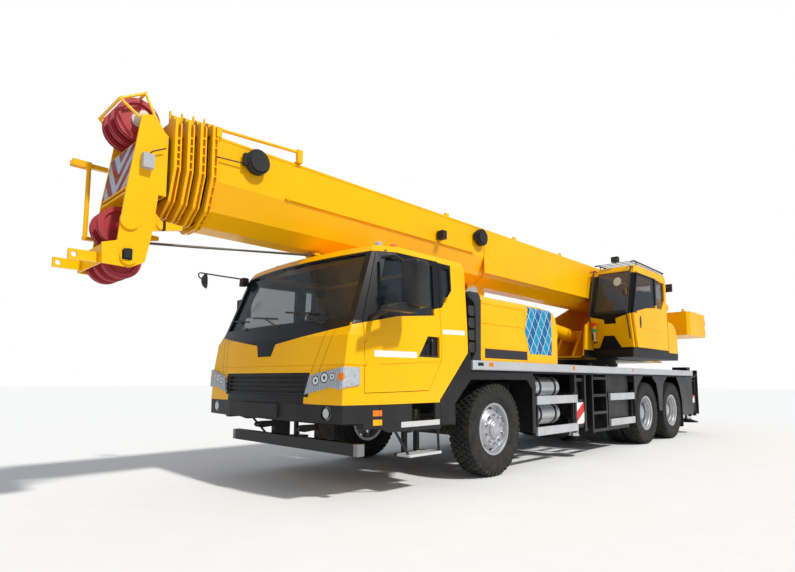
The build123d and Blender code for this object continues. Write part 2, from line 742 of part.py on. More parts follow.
# ================================================================ fenders, tanks
with BuildPart() as fenders:
    for s in (1, -1):
        outer = (s * 880, s * HALF_W)
        skin = (s * 1236, s * HALF_W)
        low, high = min(skin), max(skin)
        # front wheel: panel behind the cab, top and rear sheet
        block((1432, 2740), outer, (1165, 1192))
        plate_y(((1432, 1192), (1360, 1120), (1360, 1080), (1432, 1160)), (min(outer), max(outer)))
        block((1360, 1382), outer, (440, 1123))
        plate_y(
            ((1360, 1120), (1432, 1192), (2740, 1192), (2740, 1110), (1560, 1110), (1440, 1000),
             (1440, 440), (1360, 440)),
            (low, high),
        )
        plate_y(
            ((2740, 1405), (2770, 1405), (3258, 905), (3258, 665), (3020, 640), (3020, 860),
             (2740, 1110)),
            (low, high),
        )
        block((3020, 3262), (s * 1000, s * 1236), (640, 665))
        # rear wheels: three chamfered pieces, before, between and behind
        for x0, x1 in ((-2330, -1945), (-3586, -2830), (-5170, -4180)):
            block((x0, x1), outer, (1165, 1192))
        for outline in (
            ((-1945, 1192), (-2330, 1192), (-2330, 1165), (-2075, 1000), (-1955, 700),
             (-1955, 560), (-1945, 560)),
            ((-2830, 1192), (-3586, 1192), (-3586, 1165), (-3400, 1060), (-3330, 860),
             (-3290, 560), (-3126, 560), (-3086, 860), (-3016, 1060), (-2830, 1165)),
            ((-4180, 1192), (-5170, 1192), (-5170, 420), (-4460, 420), (-4460, 700),
             (-4340, 1000), (-4180, 1165)),
        ):
            plate_y(outline, (low, high))
        block((-5170, -5150), outer, (420, 1172))
        block((-4475, -4460), outer, (420, 700))
        block((-3215, -3201), outer, (560, 1172))
save(fenders.part, "wheel_fenders")

with BuildPart() as boxes:
    for s in (1, -1):
        block((-1840, -980), (s * 640, s * 1180), (330, 1192))
        block((-390, -350), (s * 1150, s * 1222), (330, 1192))
        for z in (340, 600, 860, 1120):
            block((-860, -350), (s * 1150, s * 1222), (z, z + 40))
        block((-890, -850), (s * 1150, s * 1222), (330, 1192))
save(boxes.part, "side_boxes_and_ladders")

with BuildPart() as tanks:
    for s in (1, -1):
        for z in (1010, 660):
            bar_x(s * 1010, z, 145, (545, 1175))
            bar_x(s * 1010, z, 128, (528, 1192))
            bar_x(s * 1010, z, 95, (518, 1202))
            bar_x(s * 1010, z, 150, (640, 680))
            bar_x(s * 1010, z, 150, (1040, 1080))
save(tanks.part, "air_tanks")

# ================================================================ engine bay
with BuildPart() as hood:
    plate_y(
        ((650, 1225), (640, 1800), (690, 1960), (800, 2050), (1000, 2080), (2450, 2085),
         (2470, 1225)),
        (-1195, 1195),
    )
    chamfer(hood.edges().filter_by(Axis.X, 3).sort_by(Axis.Z)[-2:], length=60)
    plate_y(
        ((680, 1200), (670, 1790), (715, 1940), (810, 2020), (1000, 2050), (2500, 2055),
         (2500, 1200)),
        (-1165, 1165),
        mode=Mode.SUBTRACT,
    )
    bar_z(2330, 880, 75, (2000, 2200), mode=Mode.SUBTRACT)
    for s in (1, -1):
        for z, x in ((1982, 1500), (1753, 1500), (1467, 1440)):
            block((x, 2480), (s * 1190, s * 1200), (z, z + 9), mode=Mode.SUBTRACT)
        plate_y(
            ((1500, 2000), (1490, 1760), (1440, 1460), (1440, 1340), (1450, 1340), (1450, 1460),
             (1500, 1760), (1510, 2000)),
            both(s * 1190, s * 1200),
            mode=Mode.SUBTRACT,
        )
save(hood.part, "engine_hood")

with BuildPart() as engine:
    block((900, 2150), (-330, 330), (900, 1900))
    block((1320, 1900), (-300, 300), (560, 900))
    for x in (1050, 1950):
        block((x - 50, x + 50), (-345, 345), (900, 1000))
    # exhaust stack up through the hood's front
    strut((2100, 250, 1700), (2330, 880, 1700), 55)
    bar_z(2330, 880, 55, (1645, 2130))
    strut((2330, 880, 2120), (2230, 960, 2200), 55)
save(engine.part, "engine_block")

INTAKE_RIB_Z = (1412.0, 1550.0, 1688.0, 1826.0)
with BuildPart() as intake:
    block((2474, 2540), (-1150, 1190), (1225, 2085))
    # curved duct on the left, with a row of fat ribs in front
    plate_y(
        ((2474, 1225), (2474, 2060), (2520, 2100), (2680, 2100), (2700, 2070), (2700, 2040),
         (2600, 1990), (2570, 1930), (2570, 1420), (2660, 1310), (2690, 1225)),
        (860, 1200),
    )
    for z in INTAKE_RIB_Z:
        with BuildPart(mode=Mode.PRIVATE) as rib:
            block((2560, 2690), (880, 1190), (z, z + 116))
            fillet(rib.edges().filter_by(Axis.Y).sort_by(Axis.X)[-2:], radius=42)
        add(rib.part)
    block((2560, 2640), (930, 1140), (1400, 1990))
save(intake.part, "intake_stack")



# ================================================================ slewing ring
with BuildPart() as slew_ring:
    bar_z(SLEW_X, 0, SLEW_R, (1380, 1440))
    bar_z(SLEW_X, 0, SLEW_R - 30, (1440, FLOOR_Z - 2))
    bar_z(SLEW_X, 0, SLEW_R - 110, (1380, FLOOR_Z), mode=Mode.SUBTRACT)
save(slew_ring.part, "slewing_ring")

# ================================================================ outriggers
for x_mid, where in zip(OUTRIGGER_X, ("front", "rear")):
    for side, s in (("left", 1), ("right", -1)):
        x = x_mid - s * BEAM_OFFSET
        with BuildPart() as beam:
            block((x - BEAM_W / 2, x + BEAM_W / 2), (s * -930, s * (JACK_Y - 40)), BEAM_Z)
            block(
                (x - BEAM_W / 2 + 10, x + BEAM_W / 2 - 10),
                (s * -950, s * (JACK_Y - 120)),
                (BEAM_Z[0] + 12, BEAM_Z[1] - 12),
                mode=Mode.SUBTRACT,
            )
            bar_z(x, s * JACK_Y, SLEEVE_R, JACK_Z)
            bar_z(x, s * JACK_Y, SLEEVE_R - 12, (JACK_Z[0] - 10, JACK_Z[1] - 20), mode=Mode.SUBTRACT)
            # end frame with the striped plate
            for post in (COLUMN_X, (-COLUMN_X[1], -COLUMN_X[0])):
                block((x_mid + post[0], x_mid + post[1]), (s * COLUMN_Y[0], s * COLUMN_Y[1]), COLUMN_Z)
            for z in ((430, 480), (790, 830), (1090, 1140)):
                block((x_mid - 150, x_mid + 150), (s * COLUMN_Y[0], s * (COLUMN_Y[1] - 20)), z)
            block((x_mid - 150, x_mid + 150), (s * 1176, s * 1194), (470, 800))
            for z in ((430, 480), (1090, 1140)):
                block((x - 50, x + 50), (s * (JACK_Y + 70), s * (COLUMN_Y[0] + 5)), z)
        save(beam.part, "outrigger_beam_%s_%s" % (where, side))
        with BuildPart() as jack:
            bar_z(x, s * JACK_Y, SLEEVE_R - 12.35, (300, JACK_Z[1] - 60))
            with BuildSketch(Plane.XZ) as pad:
                with BuildLine():
                    Polyline((0, 225), (205, 225), (205, 240), (75, 285), (75, 320), (0, 320),
                             close=True)
                make_face()
            with Locations((x, s * JACK_Y, 0)):
                add(revolve(pad.sketch, axis=Axis.Z, mode=Mode.PRIVATE))
        save(jack.part, "outrigger_jack_%s_%s" % (where, side))

# ================================================================ turntable
with BuildPart() as turntable:
    bar_z(SLEW_X, 0, SLEW_R + 20, (FLOOR_Z, FLOOR_Z + 20))
    block((-5700, -1700), (-500, 500), (FLOOR_Z + 18, FLOOR_Z + 50))
    block((-4050, -2150), (450, 1185), (FLOOR_Z + 24, 1660))
    for s in (1, -1):
        plate_y(
            ((-1790, 1530), (-5670, 1530), (-5950, 1750), (-5950, 2092), (-5220, 2092), (-5100, 2500),
             (-4880, 3100), (-4420, 3100), (-2150, 2230), (-1900, 2100)),
            (min(s * 425, s * 455), max(s * 425, s * 455)),
        )
        # bosses of the derrick cylinder's foot and of the boom foot
        bar_y(CYL_FOOT[0], CYL_FOOT[1], 110, (min(s * 148, s * 202), max(s * 148, s * 202)))
        plate_y(
            ((-1900, 1535), (-2800, 1535), (-2400, 2010), (-2300, 2010)),
            (min(s * 152, s * 198), max(s * 152, s * 198)),
        )
        bar_y(PIVOT[0], PIVOT[1], 170, (min(s * 420, s * 470), max(s * 420, s * 470)))
    bar_y(PIVOT[0], PIVOT[1], 82, (-480, 480), mode=Mode.SUBTRACT)
    bar_y(CYL_FOOT[0], CYL_FOOT[1], 52, (-210, 210), mode=Mode.SUBTRACT)
    block((-5940, -5240), (-430, 430), (2080, 2100))
    block((-5200, -5170), (-430, 430), (1540, 2080))
    # curved cover behind the operator's cab
    block((-4560, -4040), (445, 1185), (FLOOR_Z + 24, FLOOR_Z + 70))
    plate_y(
        ((-4050, 1560), (-4050, 2290), (-4300, 2270), (-4470, 2190), (-4560, 2050), (-4590, 1880),
         (-4590, 1560)),
        (500, 1180),
    )
    # swing gear on the deck between the side plates
    bar_z(-3200, 0, 130, (FLOOR_Z + 45, 1900))
    bar_z(-3200, 0, 90, (1890, 2050))
    # hydraulic oil tank on the right
    block((-4300, -3350), (-1180, -440), (FLOOR_Z + 15, 2380))
save(turntable.part, "turntable_frame")

with BuildPart() as counterweight:
    block((-6450, -5230), (-HALF_W, HALF_W), (2100, 2615))
    chamfer(counterweight.edges().filter_by(Axis.Z), length=60)
    # cheeks the winches hang between
    for s in (1, -1):
        plate_y(
            ((-5300, 2612), (-6350, 2612), (-6300, 2960), (-6080, 3040), (-5560, 3040),
             (-5350, 2960)),
            (min(s * 380, s * 410), max(s * 380, s * 410)),
        )
        for name, x, z in WINCHES:
            bar_y(x, z, 122, both(s * 405, s * 500))
            bar_y(x, z, 80, both(s * 495, s * 560))
        # lifting lugs at the corners
        for x in (-5420, -6290):
            plate_y(
                ((x - 60, 2610), (x + 60, 2610), (x + 34, 2690), (x - 34, 2690)),
                both(s * 1060, s * 1100),
            )
            bar_y(x, 2652, 18, both(s * 1050, s * 1110), mode=Mode.SUBTRACT)
    for name, x, z in WINCHES:
        bar_y(x, z, 62, (-450, 450), mode=Mode.SUBTRACT)
    save(counterweight.part, "counterweight")


GUARD_BARS = 14
OP_CAB = (
    (-2190, 1660),
    (-4010, 1660),
    (-3985, 3130),
    (-3900, 3200),
    (-2400, 3200),
    (-2314, 3120),
    (-2040, 2300),
)
OP_INNER = (
    (-2240, 1710),
    (-3965, 1710),
    (-3940, 3110),
    (-3880, 3155),
    (-2425, 3155),
    (-2362, 3095),
    (-2092, 2300),
)
OP_DOOR = (
    (-2260, 1700),
    (-2105, 2300),
    (-2360, 3080),
    (-3290, 3080),
    (-3290, 1700),
)
OP_DOOR_OPENING = (
    (-2250, 1760),
    (-2150, 2300),
    (-2390, 3020),
    (-3230, 3020),
    (-3230, 1760),
)
OP_DOOR_WINDOW = (
    (-2170, 2370),
    (-2385, 3030),
    (-3230, 3030),
    (-3230, 2480),
)
with BuildPart() as op_cab:
    plate_y(OP_CAB, (470, 1185))
    plate_y(OP_INNER, (515, 1150), mode=Mode.SUBTRACT)
    plate_x(((545, 2350), (1120, 2350), (1120, 3090), (545, 3090)), (-2450, -1900),
            mode=Mode.SUBTRACT)
    plate_y(OP_DOOR_OPENING, (1140, 1200), mode=Mode.SUBTRACT)
    plate_y(((-3380, 2500), (-3380, 3040), (-3880, 3040), (-3880, 2700), (-3700, 2500)),
            (1140, 1200), mode=Mode.SUBTRACT)
    plate_y(((-2500, 2400), (-2560, 3040), (-3880, 3040), (-3880, 2400)),
            (460, 520), mode=Mode.SUBTRACT)
    plate_x(((560, 2450), (1100, 2450), (1100, 3050), (560, 3050)), (-4100, -3900),
            mode=Mode.SUBTRACT)
    # panel joint and door handle's edge
    block((-4010, -3300), (1181, 1190), (2046, 2054), mode=Mode.SUBTRACT)
    for z in (1705, 3040):
        block((-3950, -2420), (1180, 1194.65), (z, z + 30))
save(op_cab.part, "operator_cab_shell")

with BuildPart() as op_glass:
    plate_y(
        ((-2078, 2350.4), (-2325, 3089.6), (-2331, 3089.6), (-2084, 2350.4)),
        (545.4, 1119.6),
    )
    plate_y(((-3380.4, 2500.4), (-3380.4, 3039.6), (-3879.6, 3039.6), (-3879.6, 2700.4), (-3700, 2500.4)),
            (1160, 1166))
    plate_y(((-2500.4, 2400.4), (-2560.4, 3039.6), (-3879.6, 3039.6), (-3879.6, 2400.4)), (490, 496))
    block((-3982, -3976), (560.4, 1099.6), (2450.4, 3049.6))
save(op_glass.part, "operator_cab_windows")

# black roof guard, grab rails, work lamp, mirrors and signal lamp
with BuildPart() as op_trim:
    for y in (500, 1160):
        rail(((-3960, y, 3262), (-2420, y, 3282), (-2290, y, 3250)), 13)
        rail(
            ((-2390, y, 3150), (-2236, y, 3150), (-1965, y, 2300), (-2105, y, 1860),
             (-2190, y, 1850)),
            11,
        )
        for x in (-3900, -2520):
            bar_z(x, y, 10, (3190, 3270))
    for k in range(GUARD_BARS):
        x = -3950 + k * (1530 / (GUARD_BARS - 1))
        strut((x, 496, 3262 + (x + 3950) * 0.0125), (x, 1164, 3262 + (x + 3950) * 0.0125), 6)
    # work lamp over the front
    bar_z(-2420, 830, 10, (3275, 3300))
    block((-2450, -2360), (770, 890), (3298, 3398))
    # round mirror and the one at the rear
    strut((-2105, 1160, 2740), (-2040, 1010, 2860), 7)
    strut((-2040, 1010, 2860), (-2024, 1004, 2862), 85)
    strut((-3980, 1150, 2980), (-4115, 1215, 2990), 8)
    block((-4130, -4106), (1150, 1270), (2900, 3060))
    # three-colour signal lamp on its stem
    strut((-2170, 560, 1800), (-2020, 560, 1800), 9)
    bar_z(-2020, 560, 14, (1760, 1990))
    bar_z(-2020, 560, 36, (1985, 2150))
    plate_y(OP_CAB, (470, 1185), mode=Mode.SUBTRACT)
save(op_trim.part, "operator_cab_guard_and_rails")

with BuildPart() as op_door:
    plate_y(OP_DOOR, (1195, 1230))
    plate_y(OP_DOOR_WINDOW, (1190, 1240), mode=Mode.SUBTRACT)
    block((-3290, -2150), (1226, 1235), (2046, 2054), mode=Mode.SUBTRACT)
    with BuildSketch(Plane.XZ.offset(-1214)) as handle:
        with Locations((-2425, 2155)):
            Ellipse(42, 112)
    extrude(handle.sketch, amount=-30, mode=Mode.SUBTRACT)
    block((-2436, -2414), (1210, 1224), (2060, 2250))
save(op_door.part, "operator_cab_door")

with BuildPart() as op_door_glass:
    plate_y(OP_DOOR_WINDOW, (1208, 1214))
save(op_door_glass.part, "operator_cab_door_window")

with BuildPart() as op_seat:
    block((-3500, -3000), (600, 1060), (2080, 2220))
    block((-3620, -3490), (600, 1060), (2200, 2900))
    block((-3450, -3100), (700, 960), (1710, 2080))
    block((-3400, -2900), (515, 590), (2200, 2300))
save(op_seat.part, "operator_seat")

# winch drums turn between the cheeks on the counterweight

for name, x, z in WINCHES:
    with BuildPart() as drum:
        bar_y(x, z, 150, (-360, 360))
        for y in ((-370, -350), (350, 370)):
            bar_y(x, z, 215, y)
        bar_y(x, z, 60, (-440, 440))
    save(drum.part, "winch_drum_" + name)

# ================================================================ boom
def boom_outline(half, top, bottom):
    """Flat top and sides over a rounded lower shell."""
    bend = bottom + (top - bottom) * 0.46
    low = bottom + (top - bottom) * 0.14
    Polyline(
        (-half, bend),
        (-half, top - 18),
        (-half + 18, top),
        (half - 18, top),
        (half, top - 18),
        (half, bend),
        (half * 0.74, low),
        (half * 0.3, bottom),
        (-half * 0.3, bottom),
        (-half * 0.74, low),
        close=True,
    )


def boom_tube(half, top, bottom, wall, x):
    """A hollow boom section from x[0] to x[1]."""
    with BuildSketch(Plane.YZ.offset(x[0])) as tube:
        with BuildLine():
            boom_outline(half, top, bottom)
        make_face()
        with BuildLine():
            boom_outline(half - wall, top - wall, bottom + wall)
        make_face(mode=Mode.SUBTRACT)
    extrude(tube.sketch, amount=x[1] - x[0])


def collar(half, top, bottom, inner, x, thick=COLLAR_T):
    """Flange round a section's mouth."""
    with BuildSketch(Plane.YZ.offset(x)) as flange:
        with BuildLine():
            boom_outline(half, top, bottom)
        make_face()
        with BuildLine():
            boom_outline(*inner)
        make_face(mode=Mode.SUBTRACT)
    extrude(flange.sketch, amount=-thick)


for name, half, top, bottom, wall, rear, front, c_half, c_top, c_bottom in BOOM_SECTIONS:
    with BuildPart() as section:
        boom_tube(half, top, bottom, wall, (rear, front))
        if c_half > 0:
            collar(c_half, c_top, c_bottom, (half - 1, top - 1, bottom + 1), front)
            # second, lower flange, with ribs between the two all the way round
            collar(c_half - 10, c_top - 10, c_bottom + 8, (half - 1, top - 1, bottom + 1),
                   front - COLLAR_BACK, 12)
            back = (front - COLLAR_BACK, front - COLLAR_T)
            for k in range(COLLAR_RIBS):
                z = bottom + (top - bottom) * (0.5 + 0.44 * k / (COLLAR_RIBS - 1))
                for s in (1, -1):
                    block(back, (s * (half - 2), s * (c_half - 12)), (z - 6, z + 6))
                    y = s * half * (0.25 + 0.6 * k / (COLLAR_RIBS - 1))
                    block(back, (y - 6, y + 6), (top - 2, c_top - 12))
            low = bottom + (top - bottom) * 0.14
            bend = bottom + (top - bottom) * 0.46
            for s in (1, -1):
                for p, q in (((half * 0.74, low), (half, bend)), ((half * 0.3, bottom), (half * 0.74, low))):
                    for t in (0.2, 0.5, 0.8):
                        y = p[0] + (q[0] - p[0]) * t
                        z = p[1] + (q[1] - p[1]) * t
                        away = Vector(q[1] - p[1], -(q[0] - p[0]), 0).normalized()
                        plate_x(
                            (
                                (s * (y - away.X * 4 - away.Y * 6), z - away.Y * 4 + away.X * 6),
                                (s * (y - away.X * 4 + away.Y * 6), z - away.Y * 4 - away.X * 6),
                                (s * (y + away.X * 22 + away.Y * 6), z + away.Y * 22 - away.X * 6),
                                (s * (y + away.X * 22 - away.Y * 6), z + away.Y * 22 + away.X * 6),
                            ),
                            back,
                        )
            # rope guide and slide block on top of the flange
            for s in (1, -1):
                plate_y(
                    ((front, top), (front - 6, c_top + 120), (front - 16, c_top + 130),
                     (front - 34, c_top), (front - 30, top)),
                    both(s * 212, s * 228),
                )
                block((front - 66, front), (s * 240, s * 330), (c_top - 30, c_top + 34))
                bar_x(s * 285, c_top + 34, 24, (front - 66, front))
        if name != "boom_base":
            # slide pads at the rear end, just clear of the section outside
            for y in (-0.5 * half, 0.5 * half):
                block((rear, rear + 160), (y - 60, y + 60), (top - 4, outer_top - 0.35))
            block((rear, rear + 160), (-60, 60), (outer_bottom + 0.35, bottom + 4))
            for s in (1, -1):
                block((rear, rear + 160), (s * (half - 4), s * (outer_half - 0.35)),
                      (top - 200, top - 80))
        outer_half = half - wall
        outer_top = top - wall
        outer_bottom = bottom + wall
        if name == "boom_base":
            # seam strips along the side, pipe under them and the bar beside the top edge
            for s in (1, -1):
                block((1230, 5380), (s * (half - 2), s * (half + 5)), (3262, 3280))
            bar_x(half + 14, 2885, 9, (1460, 4620))
            for x in (1500, 2300, 3100, 3900, 4580):
                block((x - 12, x + 12), (half - 2, half + 16), (2870, 2900))
            strut((5360, 404, 3345), (4480, 404, 3400), 15)
            block((4440, 4500), (300, 425), (3290, 3306))
            block((4440, 4500), (389, 425), (3290, 3424))
            block((5330, 5380), (380, 420), (3270, 3360))
            for x in (-1200, 300, 2000):
                block((x - 40, x + 40), (half - 50, half - 30), (3290, 3340))
            # doubler plates, tail and foot
            for s in (1, -1):
                block((-4250, 1200), (s * (half - 2), s * (half + 12)), (2640, 3240))
                plate_y(
                    ((-4250, 2560), (-4250, 3290), (-4820, 3060), (-4820, 2760), (-4700, 2640)),
                    (min(s * 340, s * 385), max(s * 340, s * 385)),
                )
                bar_y(PIVOT[0], PIVOT[1], 150, (min(s * 340, s * 415), max(s * 340, s * 415)))
                bar_y(PIVOT[0], PIVOT[1], 80, (min(s * 340, s * 490), max(s * 340, s * 490)))
        if name == "boom_section_5":
            for s in (1, -1):
                plate_y(
                    ((5765, 2640), (5765, 3170), (5800, 3200), (5880, 3323), (5992, 3289), (6023, 3056),
                     (6084, 2644), (6125, 2280), (6133, 2195), (6245, 2160), (6237, 1997),
                     (6026, 1990), (5913, 2050), (5860, 2332), (5829, 2640)),
                    (min(s * 290, s * 310), max(s * 290, s * 310)),
                )
                block((6237, 6450), (s * 200, s * 230), (2010, 2090))
                bar_y(6410, 2050, 22, (-240, 240), mode=Mode.SUBTRACT)
                # rear link with its pin, and the forked arm at the front
                plate_y(
                    ((5900, 2500), (5880, 2330), (5780, 2350), (5590, 2392), (5590, 2428), (5780, 2440),
                     (5850, 2520)),
                    both(s * 235, s * 262),
                )
                block((5850, 5890), (s * 255, s * 300), (2370, 2480))
                bar_y(5780, 2395, 34, both(s * 225, s * 275))
                # lugs round the lower sheave's pin and the foot
                bar_y(6050, 2370, 74, both(s * 305, s * 330))
                bar_y(6045, 2075, 66, both(s * 305, s * 330))
                strut((6010, s * 300, 3262), (6150, s * 250, 3392), 12)
                strut((5880, s * 300, 3300), (5950, s * 250, 3510), 12)
                strut((6150, s * 250, 3392), (5950, s * 250, 3510), 12)
            strut((6150, -262, 3392), (6150, 262, 3392), 12)
            strut((5950, -262, 3510), (5950, 262, 3510), 12)
            block((5760, 5780), (-300, 300), (2640, 3170))
            # front plate, floor under it, and the thin rear wall
            plate_y(((6004, 3056), (6019, 3056), (6080, 2644), (6065, 2644)), (-300, 300))
            block((5860, 6080), (-300, 300), (2600, 2620))
            plate_y(((5832, 2606), (5862, 2332), (5874, 2332), (5848, 2606)), (-300, 300))
            block((6228, 6240), (-300, 300), (2000, 2150))
            # side arm for the hoist limit, on the right
            block((6040, 6210), (-350, -305), (2948, 2984))
            bar_z(6190, -330, 19, (2300, 2990))
            block((6080, 6210), (-350, -305), (2300, 2330))
            for y in (-372, -312):
                block((6200, 6330), (y, y + 22), (2940, 2990))
            block((6180, 6215), (-372, -290), (2940, 2990))
            # junction box and limit switch on the left
            block((5895, 5985), (308, 372), (2830, 2950))
            block((6030, 6090), (308, 352), (2055, 2130))
    save(section.part, name)

# bracket under the boom base: a curved band that spreads the derrick cylinder's push
# round the lower shell, and the cheeks its rod pins between
base_half, base_top, base_bottom = BOOM_SECTIONS[0][1:4]
with BuildPart() as bracket:
    with BuildSketch(Plane.YZ.offset(BAND_X[0])) as band:
        with BuildLine():
            boom_outline(base_half + 16, base_top, base_bottom - 14)
        make_face()
        with Locations((0, base_top)):
            Rectangle(1000, 2 * (base_top - 2960), mode=Mode.SUBTRACT)
    extrude(band.sketch, amount=BAND_X[1] - BAND_X[0])
    for s in (1, -1):
        plate_y(
            ((900, 2530), (1250, 2530), (1250, 2400), (1150, 2200), (950, 2200), (850, 2400)),
            both(s * 110, s * 150),
        )
        bar_y(CYL_HEAD[0], CYL_HEAD[1], 100, both(s * 110, s * 165))
        # cut to the shell and to the doubler plate on its side
        block(BAND_X, (s * (base_half - 2), s * (base_half + 12)), (2640, 3240), mode=Mode.SUBTRACT)
    with BuildSketch(Plane.YZ.offset(BAND_X[0] - 100)) as shell:
        with BuildLine():
            boom_outline(base_half, base_top, base_bottom)
        make_face()
    extrude(shell.sketch, amount=BAND_X[1] - BAND_X[0] + 300, mode=Mode.SUBTRACT)
save(bracket.part, "boom_cylinder_bracket")

SHEAVES = (
    (5968.0, 3298.0, 184.0, (-150.0, 0.0, 150.0)),
    (6050.0, 2370.0, 164.0, (-120.0, 60.0)),
    (6045.0, 2075.0, 158.0, (-210.0, -30.0, 150.0)),
)
with BuildPart() as sheaves:
    for x, z, r, places in SHEAVES:
        for y in places:
            # rim with its rope groove, thin web and hub
            for mid in (y - 18, y + 18):
                ring_y(x, z, r, r - 40, (mid - 7, mid + 7))
            ring_y(x, z, r - 26, r - 40, (y - 12, y + 12))
            bar_y(x, z, r - 38, (y - 6, y + 6))
            bar_y(x, z, 58, (y - 28, y + 28))
        bar_y(x, z, 40, (-289.7, 289.7))
save(sheaves.part, "boom_head_sheaves")

# cable reels and the work lamp on the boom's left side
with BuildPart() as reels:
    for x, z in CABLE_REELS:
        side = BOOM_SECTIONS[0][1]
        bar_y(x, z, 62, (side, side + 22))
        bar_y(x, z, 118, (side + 20, side + 82))
        bar_y(x, z, 98, (side + 80, side + 96))
        block((x + 60, x + 140), (side + 20, side + 70), (z - 60, z + 50))
    block((WORK_LAMP[0] - 12, WORK_LAMP[0] + 12), (BOOM_SECTIONS[0][1], 410), (WORK_LAMP[1] - 30, WORK_LAMP[1] + 30))
    block((WORK_LAMP[0] - 8, WORK_LAMP[0] + 60), (398, 412), (WORK_LAMP[1] - 12, WORK_LAMP[1] + 12))
    block((WORK_LAMP[0] + 30, WORK_LAMP[0] + 110), (400, 500), (WORK_LAMP[1] - 50, WORK_LAMP[1] + 60))
save(reels.part, "boom_cable_reels_and_lamp")

# ================================================================ hook block
with BuildPart() as hook:
    for y in (-110, 86):
        plate_y(
            ((1350, 2200), (1350, 2400), (1600, 2430), (2050, 2430), (2230, 2350), (2230, 2250),
             (2050, 2170), (1600, 2170)),
            (y, y + 24),
        )
    for y in (-50, 10):
        bar_y(1980, 2300, 130, (y, y + 40))
    bar_y(1980, 2300, 36, (-130, 130))
    block((1320, 1440), (-90, 90), (2240, 2360))
    bar_x(0, 2300, 40, (1200, 1330))
    # hanger that holds it under the boom while the crane travels
    for s in (1, -1):
        block((1690, 1750), (s * 20, s * 115), (2425, BOOM_SECTIONS[0][3]))
save(hook.part, "hook_block")

# ================================================================ derrick cylinder
run = Vector(CYL_HEAD[0] - CYL_FOOT[0], 0, CYL_HEAD[1] - CYL_FOOT[1])
along = Plane(origin=(CYL_FOOT[0], 0, CYL_FOOT[1]), x_dir=(0, 1, 0), z_dir=run)
BARREL_R = 118.0
BORE_R = 98.0
ROD_R = 78.0
BARREL_L = run.length - 160
with BuildPart() as barrel:
    disc(along.offset(110), (0, 0), BARREL_R, BARREL_L - 110)
    # holding valve under the barrel, with its ports
    block((-1480, -1180), (-70, 110), (1850, 1985))
    for y in (-30, 60):
        bar_x(y, 1890, 28, (-1540, -1120))
    bar_z(-1330, 20, 36, (1800, 1870))
    bar_y(-1400, 1920, 26, (-130, 150))
    disc(along.offset(150), (0, 0), BORE_R, BARREL_L - 190, mode=Mode.SUBTRACT)
    disc(along.offset(BARREL_L - 60), (0, 0), ROD_R + 0.4, 100, mode=Mode.SUBTRACT)
    bar_y(CYL_FOOT[0], CYL_FOOT[1], 105, (-140, 140))
    disc(along, (0, 0), 90, 120)
    bar_y(CYL_FOOT[0], CYL_FOOT[1], 50, (-205, 205))
save(barrel.part, "derrick_cylinder_barrel")

with BuildPart() as rod:
    disc(along.offset(180), (0, 0), ROD_R, run.length - 180 - 60)
    disc(along.offset(156), (0, 0), BORE_R - 0.4, 40)
    bar_y(CYL_HEAD[0], CYL_HEAD[1], 85, (-100, 100))
save(rod.part, "derrick_cylinder_rod")
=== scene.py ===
import math

import bmesh
import bpy
from mathutils import Matrix, Quaternion, Vector


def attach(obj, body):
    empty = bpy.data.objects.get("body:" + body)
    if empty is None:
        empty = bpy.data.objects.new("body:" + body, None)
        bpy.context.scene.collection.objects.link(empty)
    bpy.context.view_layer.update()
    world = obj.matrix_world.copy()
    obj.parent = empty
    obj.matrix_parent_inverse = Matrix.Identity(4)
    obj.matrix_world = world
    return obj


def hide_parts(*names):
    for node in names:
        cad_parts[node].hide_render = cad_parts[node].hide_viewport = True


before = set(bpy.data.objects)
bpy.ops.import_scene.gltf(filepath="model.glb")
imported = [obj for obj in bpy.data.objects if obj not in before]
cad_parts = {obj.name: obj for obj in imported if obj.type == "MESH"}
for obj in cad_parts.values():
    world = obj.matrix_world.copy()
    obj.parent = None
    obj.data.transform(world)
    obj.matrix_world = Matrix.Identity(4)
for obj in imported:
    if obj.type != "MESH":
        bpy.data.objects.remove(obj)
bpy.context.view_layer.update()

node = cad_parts
scene = bpy.context.scene
scene.view_settings.view_transform = "Standard"

# ------------------------ camera, light and floor
# A low camera off the left front corner, one high sun from the crane's left, a pale
# sky all round, and a plain pale floor.
lens = bpy.data.cameras.new("camera")
camera = bpy.data.objects.new("camera", lens)
scene.collection.objects.link(camera)
scene.camera = camera
heading, rise, roll = math.radians(224.905), math.radians(5.745), math.radians(0.212)
look = Vector((math.cos(heading) * math.cos(rise), math.sin(heading) * math.cos(rise), math.sin(rise)))
camera.location = (7.590, 4.763, 1.096)
camera.rotation_mode = "QUATERNION"
camera.rotation_quaternion = look.to_track_quat("-Z", "Y") @ Quaternion((0, 0, 1), roll)
lens.sensor_width = 36.0
lens.lens = 24.394
lens.shift_x = 0.0151
lens.shift_y = 0.0506
lens.clip_end = 400.0

for name, strength, colour, angle, direction in (
    ("sun", 3.0, (1.0, 0.97, 0.92), 4.0, (-0.12, 0.80, 0.85)),
    ("fill", 0.16, (0.93, 0.96, 1.0), 40.0, (0.9, -0.2, 0.55)),
):
    lamp = bpy.data.lights.new(name, "SUN")
    lamp.energy, lamp.color, lamp.angle = strength, colour, math.radians(angle)
    holder = bpy.data.objects.new(name, lamp)
    scene.collection.objects.link(holder)
    holder.rotation_mode = "QUATERNION"
    holder.rotation_quaternion = (-Vector(direction)).to_track_quat("-Z", "Y")

